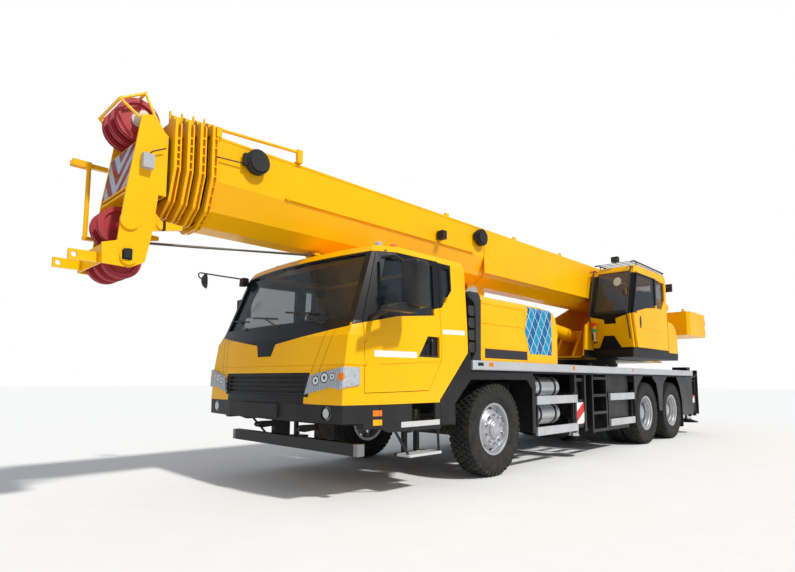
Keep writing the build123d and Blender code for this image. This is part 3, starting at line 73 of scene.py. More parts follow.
sky = bpy.data.worlds.new("sky")
scene.world = sky
sky.use_nodes = True
tree = sky.node_tree
tree.nodes.clear()
seen = tree.nodes.new("ShaderNodeBackground")
seen.inputs["Color"].default_value = (1, 1, 1, 1)
seen.inputs["Strength"].default_value = 1.0
glow = tree.nodes.new("ShaderNodeBackground")
glow.inputs["Color"].default_value = (0.86, 0.92, 1.0, 1)
glow.inputs["Strength"].default_value = 0.46
rays = tree.nodes.new("ShaderNodeLightPath")
either = tree.nodes.new("ShaderNodeMath")
either.operation = "MAXIMUM"
tree.links.new(rays.outputs["Is Camera Ray"], either.inputs[0])
tree.links.new(rays.outputs["Is Transmission Ray"], either.inputs[1])
mix = tree.nodes.new("ShaderNodeMixShader")
tree.links.new(either.outputs[0], mix.inputs[0])
tree.links.new(glow.outputs[0], mix.inputs[1])
tree.links.new(seen.outputs[0], mix.inputs[2])
tree.links.new(mix.outputs[0], tree.nodes.new("ShaderNodeOutputWorld").inputs["Surface"])

ground = bpy.data.meshes.new("floor")
ground.from_pydata([(-90, -90, 0), (90, -90, 0), (90, 90, 0), (-90, 90, 0)], [], [(0, 1, 2, 3)])
floor = bpy.data.objects.new("floor", ground)
scene.collection.objects.link(floor)
concrete = bpy.data.materials.new("pale_floor")
concrete.use_nodes = True
tree = concrete.node_tree
pale = tree.nodes["Principled BSDF"]
pale.inputs["Roughness"].default_value = 0.9
pale.inputs["Specular IOR Level"].default_value = 0.1
spots = tree.nodes.new("ShaderNodeTexNoise")
spots.inputs["Scale"].default_value = 3.0
tone = tree.nodes.new("ShaderNodeMapRange")
tone.inputs["To Min"].default_value = 0.84
tone.inputs["To Max"].default_value = 0.88
where = tree.nodes.new("ShaderNodeTexCoord")
tree.links.new(where.outputs["Object"], spots.inputs["Vector"])
tree.links.new(spots.outputs["Fac"], tone.inputs["Value"])
tree.links.new(tone.outputs[0], pale.inputs["Base Color"])
ground.materials.append(concrete)


# ------------------------ carrier frame and deck
# Welded steel frame rails, cross members, deck plates and outrigger housings, all under
# one coat of satin black paint that road dust has settled on, thicker lower down.
DUST = (0.23, 0.21, 0.18)


class Finish:
    """A procedural surface: a base colour with its own unevenness, then zones laid over it."""

    def __init__(self, name, colour, other, rough=0.4, metal=0.0, grain=6.0, bump=0.04, bump_scale=300.0,
                 coat=0.0, dust=0.0, dust_top=1.3, rough_swing=0.12, spec=0.5):
        self.material = bpy.data.materials.new(name)
        self.material.use_nodes = True
        self.tree = self.material.node_tree
        self.skin = self.tree.nodes["Principled BSDF"]
        self.skin.inputs["Metallic"].default_value = metal
        self.skin.inputs["Coat Weight"].default_value = coat
        self.skin.inputs["Coat Roughness"].default_value = 0.06
        self.skin.inputs["Specular IOR Level"].default_value = spec
        self.place = self.tree.nodes.new("ShaderNodeTexCoord").outputs["Object"]
        cut = self.tree.nodes.new("ShaderNodeSeparateXYZ")
        self.tree.links.new(self.place, cut.inputs[0])
        self.x, self.y, self.z = cut.outputs
        self.side = self.reckon("ABSOLUTE", self.y)
        fold = self.tree.nodes.new("ShaderNodeCombineXYZ")
        for k, source in enumerate((self.x, self.side, self.z)):
            self.tree.links.new(source, fold.inputs[k])
        self.folded = fold.outputs[0]
        cloud = self.noise(grain, 4.0)
        self.colour = self.blend(self.spread(cloud, 0.35, 0.7, 0.0, 1.0), colour, other)
        self.rough = self.spread(cloud, 0.3, 0.7, rough - rough_swing / 2, rough + rough_swing / 2)
        if dust > 0:
            low = self.spread(self.z, 0.25, dust_top, 1.0, 0.0)
            blotch = self.spread(self.noise(14.0, 6.0), 0.38, 0.72, 0.1, 1.0)
            amount = self.reckon("MULTIPLY", self.reckon("MULTIPLY", low, blotch), dust)
            self.colour = self.blend(amount, self.colour, DUST)
            self.rough = self.reckon("ADD", self.rough, self.reckon("MULTIPLY", amount, 0.35))
        if bump > 0:
            tex = self.noise(bump_scale, 3.0)
            lift = self.tree.nodes.new("ShaderNodeBump")
            lift.inputs["Strength"].default_value = bump
            lift.inputs["Distance"].default_value = 0.002
            self.tree.links.new(tex, lift.inputs["Height"])
            self.tree.links.new(lift.outputs[0], self.skin.inputs["Normal"])

    def reckon(self, kind, first, second=None):
        made = self.tree.nodes.new("ShaderNodeMath")
        made.operation = kind
        for k, source in enumerate((first, second)):
            if source is None:
                continue
            if isinstance(source, (int, float)):
                made.inputs[k].default_value = source
            else:
                self.tree.links.new(source, made.inputs[k])
        return made.outputs[0]

    def noise(self, scale, detail):
        tex = self.tree.nodes.new("ShaderNodeTexNoise")
        tex.inputs["Scale"].default_value = scale
        tex.inputs["Detail"].default_value = detail
        self.tree.links.new(self.place, tex.inputs["Vector"])
        return tex.outputs["Fac"]

    def spread(self, source, low, high, to_low, to_high):
        made = self.tree.nodes.new("ShaderNodeMapRange")
        for k, value in zip(("From Min", "From Max", "To Min", "To Max"), (low, high, to_low, to_high)):
            made.inputs[k].default_value = value
        self.tree.links.new(source, made.inputs["Value"])
        return made.outputs[0]

    def blend(self, amount, first, second):
        made = self.tree.nodes.new("ShaderNodeMix")
        made.data_type = "RGBA"
        for socket, source in ((made.inputs[0], amount), (made.inputs[6], first), (made.inputs[7], second)):
            if isinstance(source, tuple):
                socket.default_value = (*source, 1.0)
            elif isinstance(source, (int, float)):
                socket.default_value = source
            else:
                self.tree.links.new(source, socket)
        return made.outputs[2]

    def run(self, place, a, b, c):
        """a*x + b*y + c*z of a place."""
        dot = self.tree.nodes.new("ShaderNodeVectorMath")
        dot.operation = "DOT_PRODUCT"
        self.tree.links.new(place, dot.inputs[0])
        dot.inputs[1].default_value = (a, b, c)
        return dot.outputs["Value"]

    def share(self, a, b, c, pitch):
        """How far along its pitch a slanting pattern is, from 0 to 1; the 50 keeps the run above zero."""
        return self.reckon("FRACT", self.reckon("ADD", self.run(self.folded, a / pitch, b / pitch, c / pitch), 50.0))

    def inside(self, *cuts, both_sides=True):
        """1 where every cut (a, b, c, d) has a*x + b*y + c*z + d above zero; y counts from the middle."""
        whole = None
        for a, b, c, d in cuts:
            step = self.reckon("GREATER_THAN", self.run(self.folded if both_sides else self.place, a, b, c), -d)
            whole = step if whole is None else self.reckon("MULTIPLY", whole, step)
        return whole

    def disc(self, across, a, b, radius, inner=0.0):
        """1 inside a round, or a ring, about the place (a, b), where b is a height."""
        u = self.reckon("SUBTRACT", across, a)
        v = self.reckon("SUBTRACT", self.z, b)
        far = self.reckon("SQRT", self.reckon("ADD", self.reckon("MULTIPLY", u, u), self.reckon("MULTIPLY", v, v)))
        whole = self.reckon("LESS_THAN", far, radius)
        return self.reckon("MULTIPLY", whole, self.reckon("GREATER_THAN", far, inner)) if inner else whole

    def lines(self, mask, a, b, c, pitch, width, colour):
        """Thin parallel lines within a zone, width as a part of the pitch."""
        line = self.reckon("LESS_THAN", self.share(a, b, c, pitch), width)
        self.zone(self.reckon("MULTIPLY", mask, line), colour)

    def zone(self, mask, colour, rough=None):
        self.colour = self.blend(mask, self.colour, colour)
        if rough is not None:
            keep = self.reckon("MULTIPLY", self.rough, self.reckon("SUBTRACT", 1.0, mask))
            self.rough = self.reckon("ADD", keep, self.reckon("MULTIPLY", mask, rough))

    def areas(self, *rows, both_sides=True):
        """Lays one zone over another; each row is its cuts, then a colour and a roughness."""
        for *cuts, colour, rough in rows:
            self.zone(self.inside(*cuts, both_sides=both_sides), colour, rough)

    def stripes(self, mask, a, b, c, pitch, first, second, rough=0.35):
        """Slanting bands of two colours, where a, b, c give the run across them."""
        band = self.reckon("GREATER_THAN", self.share(a, b, c, pitch), 0.5)
        self.zone(mask, self.blend(band, first, second), rough)

    def done(self, *names):
        """Joins the colour and roughness up, and paints the named solids."""
        self.tree.links.new(self.colour, self.skin.inputs["Base Color"])
        self.tree.links.new(self.rough, self.skin.inputs["Roughness"])
        for name in names:
            node[name].material_slots[0].material = self.material
        return self.material


def between(axis, low, high):
    """The two cuts that keep one axis between two places."""
    up = [0.0, 0.0, 0.0]
    up["xyz".index(axis)] = 1.0
    return (*up, -low), (*[-v for v in up], high)


def patch(x0, x1, z0, z1):
    """The four cuts round an upright patch on a side face."""
    return (*between("x", x0, x1), *between("z", z0, z1))


Finish("chassis_black", (0.012, 0.012, 0.013), (0.02, 0.02, 0.021), rough=0.45, dust=0.16, spec=0.2).done(
    "chassis_frame", "boom_rest", "slewing_ring")

# ------------------------ axles, springs and engine
# Forged axles on leaf springs, in black chassis enamel that road dust lies thick on, and a
# cast engine block in worn grey with a bright plate on top.
Finish("running_gear_black", (0.016, 0.016, 0.017), (0.035, 0.033, 0.03), rough=0.6, dust=0.6, grain=12.0,
       bump=0.2, spec=0.2).done("axles_and_springs", "steering_knuckle_left", "steering_knuckle_right")

engine_grey = Finish("engine_grey", (0.10, 0.10, 0.11), (0.05, 0.05, 0.052), rough=0.5, metal=0.4, dust=0.3,
                     dust_top=2.0, grain=9.0)
engine_grey.zone(engine_grey.inside((0, 0, 1, -1.99)), (0.55, 0.56, 0.58), 0.3)
engine_grey.done("engine_block")

# ------------------------ tyres
# Radial truck tyres: a spun carcass with moulded sidewall rings, and five rows of tread
# blocks set round it.
def piece(name, mesh, body, material, slot, *stands_for):
    """Links a finished mesh as a piece of the crane."""
    made = bpy.data.objects.new(name, mesh)
    scene.collection.objects.link(made)
    if material is not None:
        mesh.materials.clear()
        mesh.materials.append(material)
    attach(made, body)
    if stands_for:
        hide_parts(*stands_for)
    return made


def mesh_of(form, name):
    """Turns a built form into a mesh and frees it."""
    mesh = bpy.data.meshes.new(name)
    form.to_mesh(mesh)
    form.free()
    return mesh


def smooth(mesh, angle=32.0):
    """Smooth shading that keeps edges sharper than the angle, in degrees."""
    mesh.shade_smooth()
    mesh.set_sharp_from_angle(angle=math.radians(angle))
    return mesh


def spun(name, outline, steps=96):
    """A closed outline of (place along the axle, radius) turned about the Y axis."""
    form = bmesh.new()
    rings = []
    for k in range(steps):
        turn = 2 * math.pi * k / steps
        ring = []
        for y, r in outline:
            if r < 1e-6:
                ring.append(rings[0][len(ring)] if rings else form.verts.new((0, y, 0)))
            else:
                ring.append(form.verts.new((r * math.sin(turn), y, r * math.cos(turn))))
        rings.append(ring)
    count = len(outline)
    for k in range(steps):
        here, there = rings[k], rings[(k + 1) % steps]
        for j in range(count):
            corners = [here[j], here[(j + 1) % count], there[(j + 1) % count], there[j]]
            corners = [v for i, v in enumerate(corners) if v not in corners[:i]]
            if len(corners) > 2:
                form.faces.new(corners)
    bmesh.ops.recalc_face_normals(form, faces=form.faces)
    return smooth(mesh_of(form, name))


def pattern_tree(name, **inputs):
    """A tree with named inputs, its start node, and each input's identifier."""
    tree = bpy.data.node_groups.new(name, "GeometryNodeTree")
    tree.interface.new_socket("Geometry", in_out="INPUT", socket_type="NodeSocketGeometry")
    sockets = {key: tree.interface.new_socket(key.capitalize(), in_out="INPUT", socket_type="NodeSocket" + kind)
               .identifier for key, kind in inputs.items()}
    tree.interface.new_socket("Geometry", in_out="OUTPUT", socket_type="NodeSocketGeometry")
    return tree, tree.nodes.new("NodeGroupInput"), sockets


def set_on(tree, start, points, rotation=None):
    """Puts a copy of the piece's mesh on every point, makes the copies real and coats them."""
    copies = tree.nodes.new("GeometryNodeInstanceOnPoints")
    real = tree.nodes.new("GeometryNodeRealizeInstances")
    coat = tree.nodes.new("GeometryNodeSetMaterial")
    end = tree.nodes.new("NodeGroupOutput")
    tree.links.new(points.outputs[0], copies.inputs["Points"])
    tree.links.new(start.outputs["Geometry"], copies.inputs["Instance"])
    if rotation is not None:
        tree.links.new(rotation.outputs[0], copies.inputs["Rotation"])
    tree.links.new(copies.outputs[0], real.inputs[0])
    tree.links.new(real.outputs[0], coat.inputs[0])
    tree.links.new(start.outputs["Finish"], coat.inputs["Material"])
    tree.links.new(coat.outputs[0], end.inputs[0])


def ring_tree():
    """Copies of the piece's own mesh, evenly set round the Y axis."""
    tree, start, sockets = pattern_tree("set round an axle", count="Int", finish="Material")
    points = tree.nodes.new("GeometryNodePoints")
    tree.links.new(start.outputs["Count"], points.inputs["Count"])
    number = tree.nodes.new("GeometryNodeInputIndex")
    step = tree.nodes.new("ShaderNodeMath")
    step.operation = "DIVIDE"
    step.inputs[0].default_value = 2 * math.pi
    tree.links.new(start.outputs["Count"], step.inputs[1])
    turn = tree.nodes.new("ShaderNodeMath")
    turn.operation = "MULTIPLY"
    tree.links.new(number.outputs[0], turn.inputs[0])
    tree.links.new(step.outputs[0], turn.inputs[1])
    about = tree.nodes.new("ShaderNodeCombineXYZ")
    tree.links.new(turn.outputs[0], about.inputs["Y"])
    set_on(tree, start, points, about)
    return tree, sockets


def row_tree():
    """Copies of the piece's own mesh in a straight row."""
    tree, start, sockets = pattern_tree("set in a row", count="Int", stride="Vector", finish="Material")
    line = tree.nodes.new("GeometryNodeMeshLine")
    tree.links.new(start.outputs["Count"], line.inputs["Count"])
    tree.links.new(start.outputs["Stride"], line.inputs["Offset"])
    set_on(tree, start, line)
    return tree, sockets


ROUND, IN_ROW = ring_tree(), row_tree()


def repeated(mesh, kind, **values):
    """Runs one of the trees above on a mesh and gives back the plain result."""
    tree, sockets = kind
    holder = bpy.data.objects.new("pattern", mesh)
    scene.collection.objects.link(holder)
    grow = holder.modifiers.new("repeat", "NODES")
    grow.node_group = tree
    for key, value in values.items():
        grow[sockets[key]] = value
    made = bpy.data.meshes.new_from_object(holder.evaluated_get(bpy.context.evaluated_depsgraph_get()))
    holder.modifiers.clear()
    bpy.data.objects.remove(holder)
    return made


def joined(name, *meshes):
    """One mesh from several, keeping each one's finish."""
    form = bmesh.new()
    finishes = []
    for mesh in meshes:
        before = len(form.faces)
        form.from_mesh(mesh)
        form.faces.ensure_lookup_table()
        for face in form.faces[before:]:
            own = mesh.materials[face.material_index] if len(mesh.materials) else None
            if own not in finishes:
                finishes.append(own)
            face.material_index = finishes.index(own)
    whole = mesh_of(form, name)
    for own in finishes:
        whole.materials.append(own)
    return whole


def placed(mesh, name, place, turn=0.0):
    """A copy of a mesh turned about the upright axis and put in its place."""
    copy = mesh.copy()
    copy.name = name
    copy.transform(Matrix.Translation(Vector(place)) @ Matrix.Rotation(turn, 4, "Z"))
    return copy


rubber = Finish("tyre_rubber", (0.018, 0.018, 0.019), (0.03, 0.029, 0.028), rough=0.78, grain=18.0, bump=0.25,
                bump_scale=220.0, spec=0.18, dust=0.12, dust_top=1.6).done()

TYRE_R, RIM_R = 0.540, 0.286
HALF_BLOCK = 0.39


def carcass(width):
    """Outline of a tyre without its blocks, as (place along the axle, radius)."""
    half = width / 2
    out = [
        (half * 0.73, RIM_R + 0.004), (half * 0.80, RIM_R + 0.018), (half * 0.90, RIM_R + 0.050),
        (half * 0.965, RIM_R + 0.080), (half * 0.985, RIM_R + 0.084), (half * 0.988, RIM_R + 0.100),
        (half * 0.995, RIM_R + 0.118), (half * 0.995, RIM_R + 0.150), (half * 0.975, RIM_R + 0.176),
        (half * 0.955, RIM_R + 0.180), (half * 0.945, RIM_R + 0.196), (half * 0.92, RIM_R + 0.214),
        (half * 0.88, RIM_R + 0.230), (half * 0.72, RIM_R + 0.238), (half * 0.35, RIM_R + 0.2405),
        (0.0, RIM_R + 0.241),
    ]
    return out + [(-y, r) for y, r in reversed(out[:-1])]


def lump(form, corners_low, corners_high):
    """One block from four low and four high corners."""
    low = [form.verts.new(c) for c in corners_low]
    high = [form.verts.new(c) for c in corners_high]
    form.faces.new(high)
    form.faces.new(low[::-1])
    for k in range(4):
        form.faces.new((low[k], low[(k + 1) % 4], high[(k + 1) % 4], high[k]))


def tread(width, count=46):
    """Five rows of tread blocks, the shoulder rows wrapping down the side."""
    half = width / 2
    step = 2 * math.pi / count
    form = bmesh.new()

    def at(y, r, turn):
        return (r * math.sin(turn), y, r * math.cos(turn))

    for row, (y0, y1, shift) in enumerate((
        (-0.14, 0.14, 0.0), (0.20, 0.50, 0.5), (-0.50, -0.20, 0.5), (0.56, 0.90, 0.0), (-0.90, -0.56, 0.0),
    )):
        a0, a1 = (shift - HALF_BLOCK) * step, (shift + HALF_BLOCK) * step
        skew = 0.10 * step
        top = TYRE_R if row < 3 else TYRE_R - 0.002
        edge = TYRE_R - 0.012
        low = RIM_R + 0.225
        outer = abs(y1) > 0.6 or abs(y0) > 0.6
        r0 = edge if (outer and y0 < 0) else top
        r1 = edge if (outer and y1 > 0) else top
        lump(
            form,
            (at(y0 * half, low, a0), at(y1 * half, low, a0 + skew), at(y1 * half, low, a1 + skew),
             at(y0 * half, low, a1)),
            (at(y0 * half * 0.98, r0, a0 + 0.05 * step), at(y1 * half * 0.98, r1, a0 + skew + 0.05 * step),
             at(y1 * half * 0.98, r1, a1 + skew - 0.05 * step), at(y0 * half * 0.98, r0, a1 - 0.05 * step)),
        )
    for s in (1, -1):
        a0, a1 = -0.3 * step, 0.3 * step
        low = [at(s * half * 0.86, RIM_R + 0.236, a0), at(s * half * 0.86, RIM_R + 0.236, a1),
               at(s * half * 0.90, RIM_R + 0.190, a1), at(s * half * 0.90, RIM_R + 0.190, a0)]
        high = [at(s * half * 0.955, TYRE_R - 0.016, a0), at(s * half * 0.955, TYRE_R - 0.016, a1),
                at(s * half * 0.975, RIM_R + 0.198, a1), at(s * half * 0.975, RIM_R + 0.198, a0)]
        lump(form, low, high)
    bmesh.ops.recalc_face_normals(form, faces=form.faces)
    return repeated(mesh_of(form, "tread"), ROUND, count=count, finish=rubber)


def tyre(width):
    body = spun("carcass", carcass(width))
    body.materials.append(rubber)
    return joined("tyre", body, tread(width))


front_tyre, dual_tyre = tyre(0.290), tyre(0.282)

# ------------------------ wheel rims
# Pressed steel discs in silver enamel: a dished front rim with ten oval holes, and pairs
# of deep rims back to back on the driven axles, each held by ten nuts round its hub.
enamel = Finish("rim_silver", (0.52, 0.53, 0.55), (0.44, 0.45, 0.47), rough=0.36, metal=0.55, grain=20.0,
                bump=0.05, dust=0.16, dust_top=1.4)
# painted shade with some dirt: the deep barrels of the driven wheels' rims are painted dark inside, where shade falls
enamel.zone(enamel.inside((-1, 0, 0, -1.0), *between("y", 0.99, 1.085)), (0.10, 0.10, 0.10), 0.6)
enamel.done()
nut_steel = Finish("nut_steel", (0.62, 0.63, 0.65), (0.35, 0.34, 0.33), rough=0.3, metal=0.9, grain=60.0).done()
WHEEL_BOLTS = RIM_HOLES = 10


def nuts(radius, place, size=0.0165, length=0.024, stud=0.016):
    """Hexagon nuts on their studs, round a wheel's hub."""
    form = bmesh.new()
    for across, reach, sides in ((size, length, 6), (size * 0.55, length + stud, 12)):
        made = bmesh.ops.create_cone(form, cap_ends=True, segments=sides, radius1=across,
                                     radius2=across * 0.94, depth=reach)
        bmesh.ops.transform(form, verts=made["verts"], matrix=Matrix.Translation((0, place + reach / 2, radius))
                            @ Matrix.Rotation(math.radians(-90), 4, "X"))
    bmesh.ops.recalc_face_normals(form, faces=form.faces)
    return repeated(mesh_of(form, "nut"), ROUND, count=WHEEL_BOLTS, finish=nut_steel)


def holed(mesh, radius, long, short, count, reach, middle=0.06):
    """Cuts a ring of oval holes through a disc, which lies about the middle."""
    form = bmesh.new()
    made = bmesh.ops.create_cone(form, cap_ends=True, segments=20, radius1=1.0, radius2=1.0, depth=reach)
    bmesh.ops.transform(form, verts=made["verts"], matrix=Matrix.Translation((0, middle, radius))
                        @ Matrix.Diagonal((long, 1, short, 1)) @ Matrix.Rotation(math.radians(90), 4, "X"))
    bmesh.ops.recalc_face_normals(form, faces=form.faces)
    cutter = repeated(mesh_of(form, "cutter"), ROUND, count=count, finish=enamel.material)
    knife = bpy.data.objects.new("knife", cutter)
    disc = bpy.data.objects.new("disc", mesh)
    scene.collection.objects.link(knife)
    scene.collection.objects.link(disc)
    cut = disc.modifiers.new("holes", "BOOLEAN")
    cut.object, cut.operation, cut.solver = knife, "DIFFERENCE", "EXACT"
    made = bpy.data.meshes.new_from_object(disc.evaluated_get(bpy.context.evaluated_depsgraph_get()))
    bpy.data.objects.remove(disc)
    bpy.data.objects.remove(knife)
    return smooth(made)


front_rim = spun("front_rim", [
    (0.122, 0.299), (0.124, 0.292), (0.122, 0.280), (0.112, 0.272), (0.086, 0.268), (0.062, 0.262),
    (0.058, 0.254), (0.062, 0.238), (0.076, 0.218), (0.094, 0.202), (0.106, 0.194), (0.112, 0.186),
    (0.112, 0.136), (0.108, 0.130), (0.108, 0.118), (0.116, 0.108), (0.136, 0.102), (0.142, 0.094),
    (0.142, 0.074), (0.150, 0.066), (0.153, 0.058), (0.153, 0.024), (0.150, 0.0), (0.060, 0.0),
    (0.060, 0.200), (0.044, 0.246),
    (-0.100, 0.260), (-0.118, 0.262), (-0.118, 0.300), (-0.108, 0.300), (-0.104, 0.290), (0.104, 0.290),
    (0.112, 0.300),
])
front_rim.materials.append(enamel.material)
front_rim = holed(front_rim, 0.236, 0.030, 0.017, RIM_HOLES, 0.16)
front_wheel = joined("front_wheel", front_tyre, front_rim, nuts(0.163, 0.112, 0.019, 0.026, 0.012),
                     nuts(0.086, 0.142, 0.009, 0.006, 0.002))

INNER, OUTER = 0.786, 1.101
MID = (INNER + OUTER) / 2
dual = []
for middle, out in ((INNER, -1), (OUTER, 1)):
    dual.append(placed(dual_tyre, "dual_tyre", (0, middle, 0)))
    rim = spun("deep_rim", [
        (middle + out * y if kind == "rim" else MID + out * y, r) for kind, y, r in (
            ("rim", 0.122, 0.299), ("rim", 0.124, 0.292), ("rim", 0.121, 0.278), ("rim", 0.112, 0.268),
            ("rim", 0.090, 0.264), ("rim", 0.078, 0.250), ("rim", 0.040, 0.246), ("rim", 0.026, 0.236),
            ("rim", -0.040, 0.234), ("rim", -0.098, 0.230), ("mid", 0.050, 0.222),
            ("mid", 0.030, 0.214), ("mid", 0.022, 0.205), ("mid", 0.018, 0.195), ("mid", 0.018, 0.100),
            ("mid", 0.002, 0.100), ("mid", 0.002, 0.225), ("rim", -0.112, 0.268), ("rim", -0.118, 0.300),
            ("rim", -0.108, 0.300), ("rim", -0.104, 0.290), ("rim", 0.104, 0.290), ("rim", 0.112, 0.300),
        )])
    rim.materials.append(enamel.material)
    dual.append(rim)
hub = spun("hub", [
    (MID - 0.04, 0.0), (MID - 0.04, 0.15), (MID + 0.030, 0.152), (MID + 0.038, 0.146), (MID + 0.040, 0.118),
    (MID + 0.060, 0.120), (MID + 0.150, 0.122), (MID + 0.158, 0.138), (MID + 0.182, 0.138), (MID + 0.190, 0.130),
    (MID + 0.196, 0.092), (MID + 0.212, 0.084), (MID + 0.216, 0.030), (MID + 0.216, 0.0),
])
hub.materials.append(enamel.material)
twin = joined("twin_wheels", *dual, hub, nuts(0.132, MID + 0.038), nuts(0.112, MID + 0.192, 0.011, 0.009, 0.003))

SIDES = (("left", 1), ("right", -1))
FRONT_AXLE, HALF_TRACK = 2.2, 1.062
REAR_AXLES = (("2", -2.533), ("3", -3.883))
for side, s in SIDES:
    turn = 0.0 if s > 0 else math.pi
    piece("front_wheel_and_tyre_" + side,
          placed(front_wheel, "front_wheel", (FRONT_AXLE, s * HALF_TRACK, TYRE_R), turn),
          "front_wheel_" + side, None, "rubber", "front_wheel_" + side)
    for number, x in REAR_AXLES:
        name = "rear_wheels_%s_%s" % (number, side)
        piece("pair_of_" + name, placed(twin, "twin", (x, 0, TYRE_R), turn), name, None, "rubber",
              "twin_wheels_%s_%s" % (number, side))

# ------------------------ fenders, boxes and ladders
# Folded steel sheet and welded tube in the frame's black, with rubber flaps hung behind the
# driven wheels; silver guard planks, air tanks and deck edge with amber markers.
Finish("sheet_black", (0.017, 0.017, 0.018), (0.010, 0.010, 0.011), rough=0.34, dust=0.10, grain=2.5,
       bump=0.02, spec=0.22).done("wheel_fenders", "side_boxes_and_ladders")


def slab(name, outline, axis, low, high, round_off, steps=3):
    """A flat outline drawn across one axis, given a thickness and rounded edges."""
    form = bmesh.new()
    rings = []
    for level in (low, high):
        ring = []
        for u, v in outline:
            at = {"x": (level, u, v), "y": (u, level, v), "z": (u, v, level)}[axis]
            ring.append(form.verts.new(at))
        rings.append(ring)
    form.faces.new(rings[0])
    form.faces.new(rings[1][::-1])
    for j in range(len(outline)):
        k = (j + 1) % len(outline)
        form.faces.new((rings[0][j], rings[1][j], rings[1][k], rings[0][k]))
    bmesh.ops.recalc_face_normals(form, faces=form.faces)
    bmesh.ops.bevel(form, geom=form.edges[:], offset=round_off, segments=steps, profile=0.5, affect="EDGES")
    return smooth(mesh_of(form, name), 40)


flap_rubber = Finish("mudflap_rubber", (0.012, 0.012, 0.012), (0.020, 0.019, 0.018), rough=0.62, bump=0.05,
                     dust=0.18, dust_top=0.9, spec=0.2).done()
inner, outer, top, corner, foot = 0.885, 1.234, 0.700, 0.200, 0.185
for where, x in (("middle", -3.208), ("rear", -4.541)):
    for side, s in SIDES:
        hung = [(s * inner, top), (s * outer, top), (s * outer, corner), (s * 1.205, foot), (s * 0.915, foot),
                (s * inner, corner)]
        piece("mudflap_%s_%s" % (where, side), slab("mudflap", hung[::s], "x", x - 0.004, x + 0.004, 0.002),
              "carrier", flap_rubber, "rubber")

planks = Finish("plank_silver", (0.56, 0.57, 0.59), (0.48, 0.49, 0.51), rough=0.33, metal=0.35, grain=4.0)
planks.areas(((1, 0, 0, -4.0), (0, -1, 0, 1.045), (0.016, 0.016, 0.017), 0.4),
             ((1, 0, 0, -4.0), (0, 1, 0, -1.045), (0.22, 0.22, 0.23), 0.4))
planks.done("guard_rails")

rail_silver = Finish("deck_rail_silver", (0.60, 0.61, 0.63), (0.52, 0.53, 0.55), rough=0.32, metal=0.35, grain=3.0)
rail_face, RAIL_HEIGHT = (0, 1, 0, -1.257), 1.28
AMBER = (0.85, 0.24, 0.01)
rail_silver.areas((*patch(0.268, 0.336, 1.250, 1.310), rail_face, AMBER, 0.2),
                  (*patch(2.314, 2.404, 1.256, 1.304), rail_face, AMBER, 0.2),
                  (*patch(2.51, 2.62, 1.261, 1.299), rail_face, (0.01, 0.01, 0.01), 0.5))
on_face = rail_silver.inside(rail_face)
for x in (-1.877, -4.5):
    for radius, colour in ((0.038, (0.72, 0.73, 0.75)), (0.029, (0.85, 0.20, 0.01))):
        marker = rail_silver.disc(rail_silver.x, x, RAIL_HEIGHT, radius)
        rail_silver.zone(rail_silver.reckon("MULTIPLY", on_face, marker), colour, 0.2)
rail_silver.done("deck_side_rails")

tank = Finish("tank_silver", (0.50, 0.51, 0.53), (0.42, 0.43, 0.45), rough=0.3, metal=0.6, grain=5.0, dust=0.1)
for low, high in ((0.634, 0.686), (1.034, 1.086)):
    tank.zone(tank.inside(*between("x", low, high)), (0.02, 0.02, 0.02), 0.5)
tank.done("air_tanks")

# ------------------------ outriggers
# Box beams in black paint; the end frame carries a plate with slanting red and white bands,
# and the jack's plated rod ends in a round pad.
beam_black = Finish("outrigger_black", (0.015, 0.015, 0.016), (0.024, 0.024, 0.025), rough=0.38, dust=0.12, spec=0.25)
SIGNAL_RED = (0.62, 0.02, 0.02)
HALF_PLATE, PLATE_HEIGHT = 0.128, 0.304
for middle, foot in ((0.0, 0.484), (-5.37, 0.646)):
    plate = beam_black.inside(*patch(middle - HALF_PLATE, middle + HALF_PLATE, foot, foot + PLATE_HEIGHT),
                              (0, 1, 0, -1.19))
    beam_black.stripes(plate, 0.62, 0.0, 1.0, 0.29, SIGNAL_RED, (0.8, 0.8, 0.8))
corners = ["%s_%s" % (end, side) for end in ("front", "rear") for side, s in SIDES]
beam_black.done(*["outrigger_beam_" + corner for corner in corners])
plated = Finish("plated_steel", (0.62, 0.63, 0.65), (0.56, 0.57, 0.6), rough=0.16, metal=1.0, bump=0.0)
plated.zone(plated.inside((0, 0, -1, 0.30)), (0.03, 0.03, 0.03), 0.6)
plated.done(*["outrigger_jack_" + corner for corner in corners])
Finish("cylinder_chrome", (0.72, 0.73, 0.75), (0.66, 0.67, 0.7), rough=0.1, metal=1.0, bump=0.0).done(
    "derrick_cylinder_rod")

# ------------------------ crane yellow
# Two-pack enamel over steel: a warm yellow, sprayed with a thin orange-peel under a gloss
# coat, which every yellow piece shares.
YELLOW, DEEP = (0.96, 0.50, 0.001), (0.92, 0.45, 0.001)
BLACK = (0.012, 0.012, 0.014)


def yellow(name):
    """The crane's yellow, made anew for each piece that has zones of its own."""
    return Finish(name, YELLOW, DEEP, rough=0.32, coat=0.08, spec=0.22, grain=1.3, bump=0.03, bump_scale=160.0,
                  rough_swing=0.06)


plain_yellow = yellow("crane_yellow")
plain_yellow.done("boom_base", "boom_cylinder_bracket", "derrick_cylinder_barrel", "hook_block")
